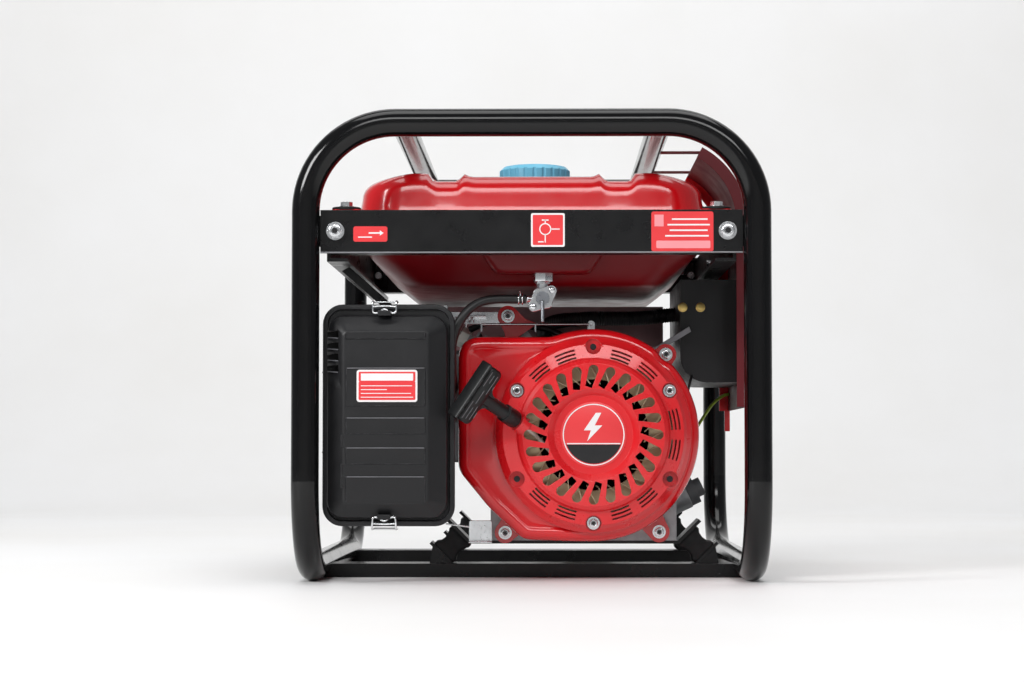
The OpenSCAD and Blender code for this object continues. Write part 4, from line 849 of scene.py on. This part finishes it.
def pull_handle():
    bm = bmesh.new()
    grip_block(bm, -9.5, 5.6, -28, 28, -7.4, 7.4, 5)
    grip_block(bm, 6.6, 9.4, -28.6, 28.6, -7.8, 7.8, 1.3)
    grip_block(bm, 4.6, 7.6, -26.5, 26.5, -6.4, 6.4, 1)
    stem = [(7.2, -3), (7.1, -14), (6.6, -22), (6.5, -38), (6.8, -40), (8.2, -40.6), (8.4, -54),
            (7.8, -56.4), (3.2, -57)]
    rings = []
    for r, along in stem:
        flat = 1.0 if along < -39 else 0.92
        rings.append([on_handle(along, r * cos(a), flat * r * sin(a)) for a in turns(28)])
    loft(bm, rings)
    for side in (-1, 1):
        fillet = [(-9, side * 15.5), (-9, side * 5), (-17, side * 5)]
        arc = [(-9 - 9 + 9 * sin(radians(a)) - 0.2,
                side * (5.8 + 9 - 9 * cos(radians(a)))) for a in range(0, 91, 15)]
        outline = fillet + arc
        loft(bm, [[on_handle(p, b, t) for p, b in outline] for t in (-5.6, 5.6)])
    piece = add_piece("starter_grip", bm, "plastic_grip", "grip", smooth=42)
    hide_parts("pull_handle")
    ribs = bmesh.new()
    for face in (-1, 1):
        for p, spans in ((3.4, ((-25, -7), (9, 24))), (-0.6, ((-24, -12), (-8, 6), (14, 22))),
                         (-4.6, ((-23, -9), (4, 23))), (-7.8, ((-20, -14), (10, 14)))):
            for b0, b1 in spans:
                rings = [[on_handle(p + dp, b, face * t) for dp, t in
                          ((-0.35, 7), (0.35, 7), (0.2, 7.8), (-0.2, 7.8))] for b in (b0, b1)]
                loft(ribs, rings)
    # The grey rib crests on the black grip are painted highlights.
    add_piece("grip_ribs", ribs, "grey_strap_and_painted_highlight", "grip", slot="black_plastic")


def starter_rope():
    route = [(28, -225, 106), (20, -225, 115), (11, -227, 126), (2, -229, 135), ROPE_EXIT,
             ROPE_EXIT + 10 * PULL]
    bm = bmesh.new()
    sweep(bm, curve_through(route, 1.2), lambda run: 1.7 + 0.12 * sin(run * 2.1), 12)
    rope = add_piece("rope_tail", bm, "cord", None, smooth=60)
    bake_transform(rope)
    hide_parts("starter_rope")
    coil = bmesh.new()
    for r, y in ((38.2, -225.1), (41, -224.2), (41, -226.4)):
        ring = [Vector((SHAFT_X + r * cos(a), y, SHAFT_Z + r * sin(a)))
                for a in turns(72, closed=True)]
        sweep(coil, ring, 1.5, 10)
    add_piece("rope_turns", coil, "cord", "starter_reel", smooth=60)


# Fuel tap

TAP_X, TAP_Z = 10.0, 259.0
TAP_LEAN = radians(42)
TAP_SCREW = 11.4


def fuel_tap():
    """Hex union, stem, body with its hose spigot, and a leaning face plate with two screws."""
    bm = bmesh.new()
    lathe(bm, [(4.2, 0), (4.2, -13), (7.2, -13), (7.2, -14), (9.2, -15), (9.4, -16), (9.4, -24),
               (9.2, -25), (5, -25.6), (5, -34), (0.01, -34)][::-1],
          (TAP_X, -228, TAP_Z + 1), (0, 0, -1), 6)
    lathe(bm, [(5.6, 0), (5.6, 16), (0.01, 16)][::-1], (TAP_X, -228, TAP_Z + 6), UP, 24)
    lathe(bm, [(7.4, 0), (8.6, 1), (8.6, 15), (8, 17.5), (0.01, 17.5)], (TAP_X, -219, TAP_Z),
          FRONT, 32)
    lathe(bm, [(3.4, 0), (3.4, 4), (2.7, 5), (2.7, 12.4), (3.1, 13.4), (3.1, 14.4), (2.2, 14.9),
               (0.01, 14.9)], (TAP_X, -228, TAP_Z), (-1, 0, 0), 20)
    body = add_piece("tap_body", bm, "zinc", smooth=30)
    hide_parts("fuel_tap")
    face = bmesh.new()
    across_c, across_s = cos(TAP_LEAN), sin(TAP_LEAN)
    outline = []
    for cx, cz, radius, start in ((0, 7, 4, 90), (TAP_SCREW, 0, 4.6, 0), (0, -7, 4, -90),
                                  (-TAP_SCREW, 0, 4.6, 180)):
        for a in range(55, -56, -22):
            t = radians(start + a)
            px, pz = cx + radius * cos(t), cz + radius * sin(t)
            outline.append((TAP_X + px * across_c - pz * across_s,
                            TAP_Z + px * across_s + pz * across_c))
    small = [(TAP_X + (x - TAP_X) * 0.96, TAP_Z + (z - TAP_Z) * 0.96) for x, z in outline]
    loft(face, [facing(outline, -235.6), facing(outline, -238.2), facing(small, -238.8)])
    add_piece("tap_plate", face, "zinc", smooth=30)
    screws, dark = bmesh.new(), bmesh.new()
    for side in (-1, 1):
        x, z = TAP_X + side * TAP_SCREW * across_c, TAP_Z + side * TAP_SCREW * across_s
        lathe(screws, [(2.9, 0), (2.9, 0.5), (2, 1.2), (0.01, 1.3)], (x, -238.8, z), FRONT, 20)
        slab(dark, x - 1.9, x + 1.9, -240.15, -239.9, z - 0.3, z + 0.3)
    add_piece("tap_screws", screws, "zinc")
    lathe(dark, [(6.1, 0), (6.1, 0.5), (0.01, 0.5)], (TAP_X, -238.8, TAP_Z), FRONT, 32)
    add_piece("tap_shadow", dark, "black_print_and_painted_shade", slot="zinc_plate")


# Hoses and wires

HOSE = [(-5.3, -228, 259), (-16, -228, 259), (-30, -229, 259), (-44, -232, 257), (-55, -236, 251),
        (-63, -239, 242), (-69, -240, 231), (-72.5, -240, 217), (-73, -238, 204), (-73, -232, 193),
        (-73, -222, 186), (-73, -210, 182), (-73, -199, 179), (-73.5, -190, 177),
        (-75, -184, 175.4), (-78, -181, 174.3)]
LOOM = [(144, -40, 255), (130, -41, 254), (112, -43, 252), (94, -46, 251), (76, -48, 251),
        (58, -50, 251), (42, -49, 250), (28, -43, 249), (18, -32, 247), (12, -19, 243),
        (11, -8, 237), (14, -1, 231), (18, 2, 224), (23.5, 3, 214)]


def hoses_and_wires():
    hose = tube_piece("petrol_hose", HOSE, 4.2, "hose", sides=20, step=2.5)
    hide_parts("fuel_hose")
    clamps = bmesh.new()
    for x in (-12, -8.6):
        sweep(clamps, [Vector((x, -228 + 4.6 * cos(a), 259 + 4.6 * sin(a)))
                       for a in turns(28, closed=True)], 0.7, 8)
    sweep(clamps, curve_through([(-10.3, -231.6, 262), (-10.6, -233, 264.5), (-10.8, -235, 266)],
                                1.5), 0.7, 8)
    add_piece("hose_clamp", clamps, "chrome_wire", smooth=60)
    loom = tube_piece("cable_conduit", LOOM, lambda run: 7.0 + 0.45 * sin(run * 2.6),
                      "plastic_black", slot="black_rubber", sides=18, step=0.6, smooth=70)
    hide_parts("wiring_loom")
    lead = [(-60, -128, 236), (-40, -135, 243), (-12, -133, 240), (14, -138, 236),
            (30, -146, 228), (38, -150, 222)]
    tube_piece("ignition_lead", lead, 3.2, "hose", sides=12)
    tube_piece("wire_to_sensor", [(132, -150, 170), (138, -156, 164), (146, -150, 172),
                                  (150, -144, 186), (155, -130, 200)], 1.3, "hose", sides=10)
    tube_piece("wire_blue_lead", [(146, -80, 176), (143, -92, 165), (141, -100, 150),
                                  (143, -96, 138), (148, -84, 130), (152, -70, 138)], 1.2,
               "wire_blue", sides=10)
    tube_piece("earth_lead", [(201.4, 45, 178), (196, 44, 177), (184, 38, 168), (168, 20, 146),
                              (152, -10, 122), (142, -30, 104), (138, -42, 92)], 1.6,
               "wire_green", sides=10)


# Sheet-metal details

def straps_and_brackets():
    bm = bmesh.new()
    loft(bm, [[(108, y, 213), (112, y, 209.5), (151, y, 233), (149, y, 238)]
              for y in (-147.5, -149.5)])
    add_piece("shroud_strap", bm, "grey_strap_and_painted_highlight", bevel=0.5)
    bm = bmesh.new()
    slab(bm, -112, -22, -150, -148.4, 240, 252, 2)
    slab(bm, -100, -86, -164, -148.4, 250.5, 252.1)
    slab(bm, -60, -44, -168, -150, 246, 247.6)
    slab(bm, -63, -61.4, -168, -150, 236, 250)
    slab(bm, -84, -80, -160, -150, 252, 258, 1)
    add_piece("control_bracket", bm, "zinc", bevel=0.4)
    spring = [Vector((-104 + 0.55 * k, -158 + 3 * cos(0.9 * k), 244 + 3 * sin(0.9 * k)))
              for k in range(90)]
    bm = bmesh.new()
    sweep(bm, spring, 0.45, 8)
    add_piece("governor_spring", bm, "chrome_wire", smooth=60)
    bm = bmesh.new()
    loft(bm, [[(-176, y, 286), (-169, y, 290), (-128, y, 254), (-134, y, 249)]
              for y in (-214, -211)])
    loft(bm, [[(-134, y, 249), (-128, y, 254), (-104, y, 254), (-104, y, 251), (-124, y, 250)]
              for y in (-214, -211)])
    add_piece("cleaner_strut", bm, "sheet_black", bevel=0.6)
    bm = bmesh.new()
    for s in (-1, 1):
        slab(bm, -189.4, 189.4, s * 281.6 - 0.5, s * 281.6 + 0.5, 297, 298.4)
    # The grey lips along the black rails are painted highlights.
    add_piece("rail_lips", bm, "grey_strap_and_painted_highlight", slot="black_enamel", bevel=0.3)
    bm = bmesh.new()
    for x in (140.5, 157):
        lathe(bm, [(2.5, 0), (4.4, 0), (4.4, 2), (3.6, 2.4), (3.6, 7), (2.6, 7.4), (0.01, 7.4)],
              (x, -190, 253.5), FRONT, 24)
    add_piece("panel_screws", bm, "yellow_zinc")


def rail_labels():
    """Plain stickers on the front rail: coloured fields, a sign and blank lines."""
    y = box_mm("tank_rails")[0].y
    edge, field, sign = bmesh.new(), bmesh.new(), bmesh.new()
    slab(edge, -0.3, 30, y - 0.25, y + 0.05, 302.6, 332.9, 1.5)
    slab(field, 1.3, 28.4, y - 0.4, y - 0.1, 304.2, 331.3, 1)
    flat_ring(sign, 4.4, 5.4, 12.5, 318.5, y - 0.3, y - 0.55, 32)
    for x0, x1, z0, z1 in ((17.6, 25.5, 318, 319), (12, 13, 306.5, 313.5), (9.5, 15.5, 326, 327.2),
                           (6, 11, 306.5, 307.6), (12, 13, 324, 327)):
        slab(sign, x0, x1, y - 0.55, y - 0.3, z0, z1)
    slab(field, -159.8, -129.2, y - 0.4, y - 0.1, 307.4, 321.2, 2)
    slab(sign, -155.5, -143, y - 0.55, y - 0.3, 311, 312)
    prism(sign, [(-146, 314.5), (-136, 314.5), (-136, 312.8), (-132.5, 315.2), (-136, 317.6),
                 (-136, 315.9), (-146, 315.9)], y - 0.55, y - 0.3)
    slab(field, 107.6, 163.2, y - 0.4, y - 0.1, 298.4, 334.2, 2)
    for k, (x0, x1) in enumerate(((126, 158), (122, 160), (124, 158), (120, 159))):
        slab(sign, x0, x1, y - 0.55, y - 0.3, 326.6 - 5 * k, 328 - 5 * k)
    add_piece("label_edges", edge, "label_white")
    add_piece("label_fields", field, "label_red")
    pale = bmesh.new()
    slab(pale, 110.4, 118.6, y - 0.55, y - 0.3, 320.8, 331.4)
    slab(pale, 112, 160.4, y - 0.5, y - 0.3, 301.2, 308, 1)
    add_piece("label_strip", pale, "label_pink")
    add_piece("label_signs", sign, "label_white")


def mounts_and_feet():
    """Moulded rubber blocks with waists, in place of the plain ones."""
    bm = bmesh.new()
    for y in (-125, 182):
        for s in (-1, 1):
            turn = Matrix.Translation((39.5 + s * 115.5, y, 31)) @ Matrix.Rotation(
                radians(-s * 45), 4, "Y")
            rings = []
            for h, inset in ((-12, 1.0), (-11, 0), (-8.5, 0), (-5, 2.6), (0, 3.4), (5, 2.6),
                             (8.5, 0), (11, 0), (12, 1.0)):
                outline = round_rect(-13 + inset, 13 - inset, -15 + inset * 0.7,
                                     15 - inset * 0.7, 3)
                rings.append([turn @ Vector((x, d, h)) for x, d in outline])
            loft(bm, rings)
    piece = add_piece("mount_blocks", bm, "rubber", smooth=50)
    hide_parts("rubber_mounts")
    plates = bmesh.new()
    slab(plates, -60, -38, -150, -148.5, 33, 54, 2)
    slab(plates, -60, -38, -162, -148.5, 33, 34.5)
    loft(plates, [[(-60, y, 47), (-82, y, 50), (-82, y, 51.5), (-60, y, 48.6)]
                  for y in (-150, -146)])
    add_piece("foot_bracket", plates, "zinc", bevel=0.4)


# Alternator and electrics

def windings():
    bm = bmesh.new()
    for y, reach in ((14, 5.5), (150, 6)):
        for k in range(24):
            a0 = 2 * pi * k / 24
            loop = []
            for i in range(9):
                u = i / 8
                a = a0 + (u - 0.5) * 0.62
                r = 65 + 2.5 * sin(pi * u) * (1 if k % 2 else -1)
                loop.append(Vector((SHAFT_X + r * cos(a), y + (1 if y > 100 else -1)
                                    * reach * sin(pi * u), SHAFT_Z + r * sin(a))))
            sweep(bm, loop, 3.4, 8)
    add_piece("stator_windings", bm, "copper", smooth=60)
    bm = bmesh.new()
    for y in (22, 143):
        for k in range(12):
            a = 2 * pi * (k + 0.5) / 12
            outward = Vector((cos(a), 0, sin(a)))
            across = Vector((-sin(a), 0, cos(a)))
            centre = Vector((SHAFT_X, y, SHAFT_Z)) + outward * 34
            sweep(bm, [centre + 9 * cos(t) * outward + 6 * sin(t) * across
                       for t in turns(16, closed=True)], 2.2, 8)
    add_piece("rotor_coils", bm, "copper", "crank", smooth=60)


def panel_fittings():
    """Screws, contacts, a dial with its needle, and plain plates on the control panel."""
    x = 203.0
    screws, contacts, plates = bmesh.new(), bmesh.new(), bmesh.new()
    for y in (-108, -48):
        for dy, dz in ((-21, -21), (-21, 21), (21, -21), (21, 21)):
            lathe(screws, [(3.2, 0), (3.2, 0.8), (2.2, 1.6), (0.01, 1.8)],
                  (x + 4, y + dy, 225 + dz), RIGHT, 20)
        for dy in (-9.5, 9.5):
            lathe(contacts, [(2.2, 0), (2.2, 1.6), (1.4, 1.8), (0.01, 1.0)],
                  (x - 16.5, y + dy, 225), RIGHT, 16)
        for dz in (-17.4, 17.4):
            slab(contacts, x - 8, x + 7, y - 3, y + 3, 225 + dz - 0.8, 225 + dz + 0.8)
    for y in (-168, 53):
        for z in (172, 240, 300):
            lathe(screws, [(3.4, 0), (3.4, 0.9), (2.4, 1.8), (0.01, 2.0)], (x, y, z), RIGHT, 20)
    add_piece("panel_screw_heads", screws, "zinc")
    add_piece("socket_contacts", contacts, "yellow_zinc")
    for y0, y1, z0, z1 in ((-136, -18, 268, 290), (-14, 48, 282, 300), (-136, -20, 168, 186)):
        loft(plates, [[(px, y, z) for y, z in round_rect(y0, y1, z0, z1, 3)]
                      for px in (x - 0.1, x + 0.5)])
    add_piece("panel_plates", plates, "label_white")
    marks = bmesh.new()
    for k, (y0, y1) in enumerate(((-130, -70), (-130, -84), (-62, -28))):
        slab(marks, x + 0.4, x + 0.7, y0, y1, 284 - 5 * (k % 2) - 2 * (k == 2),
             285.6 - 5 * (k % 2) - 2 * (k == 2))
    for y0, y1 in ((-130, -96), (-90, -60)):
        slab(marks, x + 0.4, x + 0.7, y0, y1, 175, 177)
    add_piece("panel_marks", marks, "black_print_and_painted_shade")
    dial, ticks = bmesh.new(), bmesh.new()
    lathe(dial, [(20.6, 0), (20.6, 0.4), (0.01, 0.4)], (x + 3.02, 20, 209), RIGHT, 48)
    hands = [(radians(118), ((-3, -0.7), (15, -0.2), (15, 0.2), (-3, 0.7)), 3.7, 4.1)]
    for k in range(13):
        inner = 13.5 if k % 3 == 0 else 15
        tick = ((inner, -0.35), (17.5, -0.35), (17.5, 0.35), (inner, 0.35))
        hands.insert(-1, (radians(210 - 20 * k), tick, 3.4, 3.65))
    for a, outline, x0, x1 in hands:
        c, s = cos(a), sin(a)
        loft(ticks, [[(px, 20 + r * c - w * s, 209 + r * s + w * c) for r, w in outline]
                     for px in (x + x0, x + x1)])
    lathe(ticks, [(2, 0), (2, 1.2), (1.4, 1.6), (0.01, 1.6)], (x + 3.4, 20, 209), RIGHT, 20)
    add_piece("meter_dial", dial, "dial")
    add_piece("meter_marks", ticks, "black_print_and_painted_shade")


def tank_fittings():
    """Rolled bead under the cap, and washers with rubber under the tank bolts."""
    neck = box_mm("filler_neck")
    centre = ((neck[0].x + neck[1].x) / 2, (neck[0].y + neck[1].y) / 2, 0)
    bm = bmesh.new()
    profile = [(30, 371.8), (36, 371.9), (37.5, 372.6), (36, 373.4), (31, 374), (30.4, 376.4),
               (27, 376.4)]
    lathe(bm, profile, centre, UP, 72)
    add_piece("neck_dish", bm, "red_enamel", smooth=60)
    pads = bmesh.new()
    for x in (-167, 167):
        for y in (-268, 268):
            lathe(pads, [(12.6, 0), (13, 0.5), (13, 1.9), (12.2, 2.3), (11.2, 2.3)],
                  (x, y, 337.1), UP, 32)
    add_piece("tank_pads", pads, "rubber")


# Floor, backdrop and lights

def studio():
    """Curved floor that rises into a wall, a pale world and four area lights."""
    floor = bmesh.new()
    profile = []
    for radius, y, turn, spread in ((1.4, -3.4, -1, 8), (0.9, 2.2, 1, 12)):
        arc = [(y + turn * radius * sin(radians(90 * k / spread)),
                radius * (1 - cos(radians(90 * k / spread)))) for k in range(spread + 1)]
        profile += arc[::-1] if turn < 0 else arc
    profile.append((3.1, 6))
    left = [floor.verts.new((-6, y, z)) for y, z in profile]
    right = [floor.verts.new((6, y, z)) for y, z in profile]
    for k in range(len(profile) - 1):
        floor.faces.new((left[k], right[k], right[k + 1], left[k + 1]))
    mesh = bpy.data.meshes.new("backdrop")
    floor.to_mesh(mesh)
    floor.free()
    for face in mesh.polygons:
        face.use_smooth = True
    backdrop = bpy.data.objects.new("backdrop", mesh)
    bpy.context.scene.collection.objects.link(backdrop)
    n = Nodes("pale_backdrop")
    tone = n.mix(n.spread(n.noise(1.5, 4), 0, 1), srgb(240, 239, 237), srgb(246, 246, 246))
    n.link(tone, n.shader.inputs["Base Color"])
    n.shader.inputs["Roughness"].default_value = 0.6
    backdrop.data.materials.append(n.material)

    world = bpy.data.worlds.new("studio")
    bpy.context.scene.world = world
    world.use_nodes = True
    sky = world.node_tree.nodes["Background"]
    sky.inputs["Color"].default_value = (0.93, 0.95, 1, 1)
    sky.inputs["Strength"].default_value = 0.22
    part, wall = Vector((0, 0, 0.2)), Vector((0, 3.1, 0.6))
    for name, place, size, power, aim in (
            ("key", (-2.1, -1.9, 1.5), (0.9, 0.9), 50, part),
            ("front", (0.4, -2.7, 1.9), (2.6, 0.6), 34, part),
            ("top", (0.1, -0.3, 2.5), (2.4, 1.2), 26, part),
            ("wall", (0, 1.5, 2.9), (4, 1), 36, wall)):
        light = bpy.data.lights.new(name, "AREA")
        light.shape = "RECTANGLE"
        light.size, light.size_y = size
        light.energy = power
        lamp = bpy.data.objects.new(name, light)
        lamp.location = place
        lamp.rotation_euler = (aim - Vector(place)).to_track_quat("-Z", "Y").to_euler()
        bpy.context.scene.collection.objects.link(lamp)
    bpy.context.scene.view_settings.view_transform = "Standard"
    bpy.context.scene.view_settings.exposure = 0.0


tank_top()
tank_bottom()
tank_fittings()
fan_housing()
starter_insides()
bolt_dishes()
recoil_badge()
cleaner_case()
cleaner_cover()
cover_panel()
cleaner_label()
wire_bail("bail_high", "upper_clip", 243.5, 1, "clip_high")
wire_bail("bail_low", "lower_clip", 60.5, -1, "clip_low")
pull_handle()
starter_rope()
fuel_tap()
hoses_and_wires()
straps_and_brackets()
rail_labels()
mounts_and_feet()
windings()
panel_fittings()
studio()
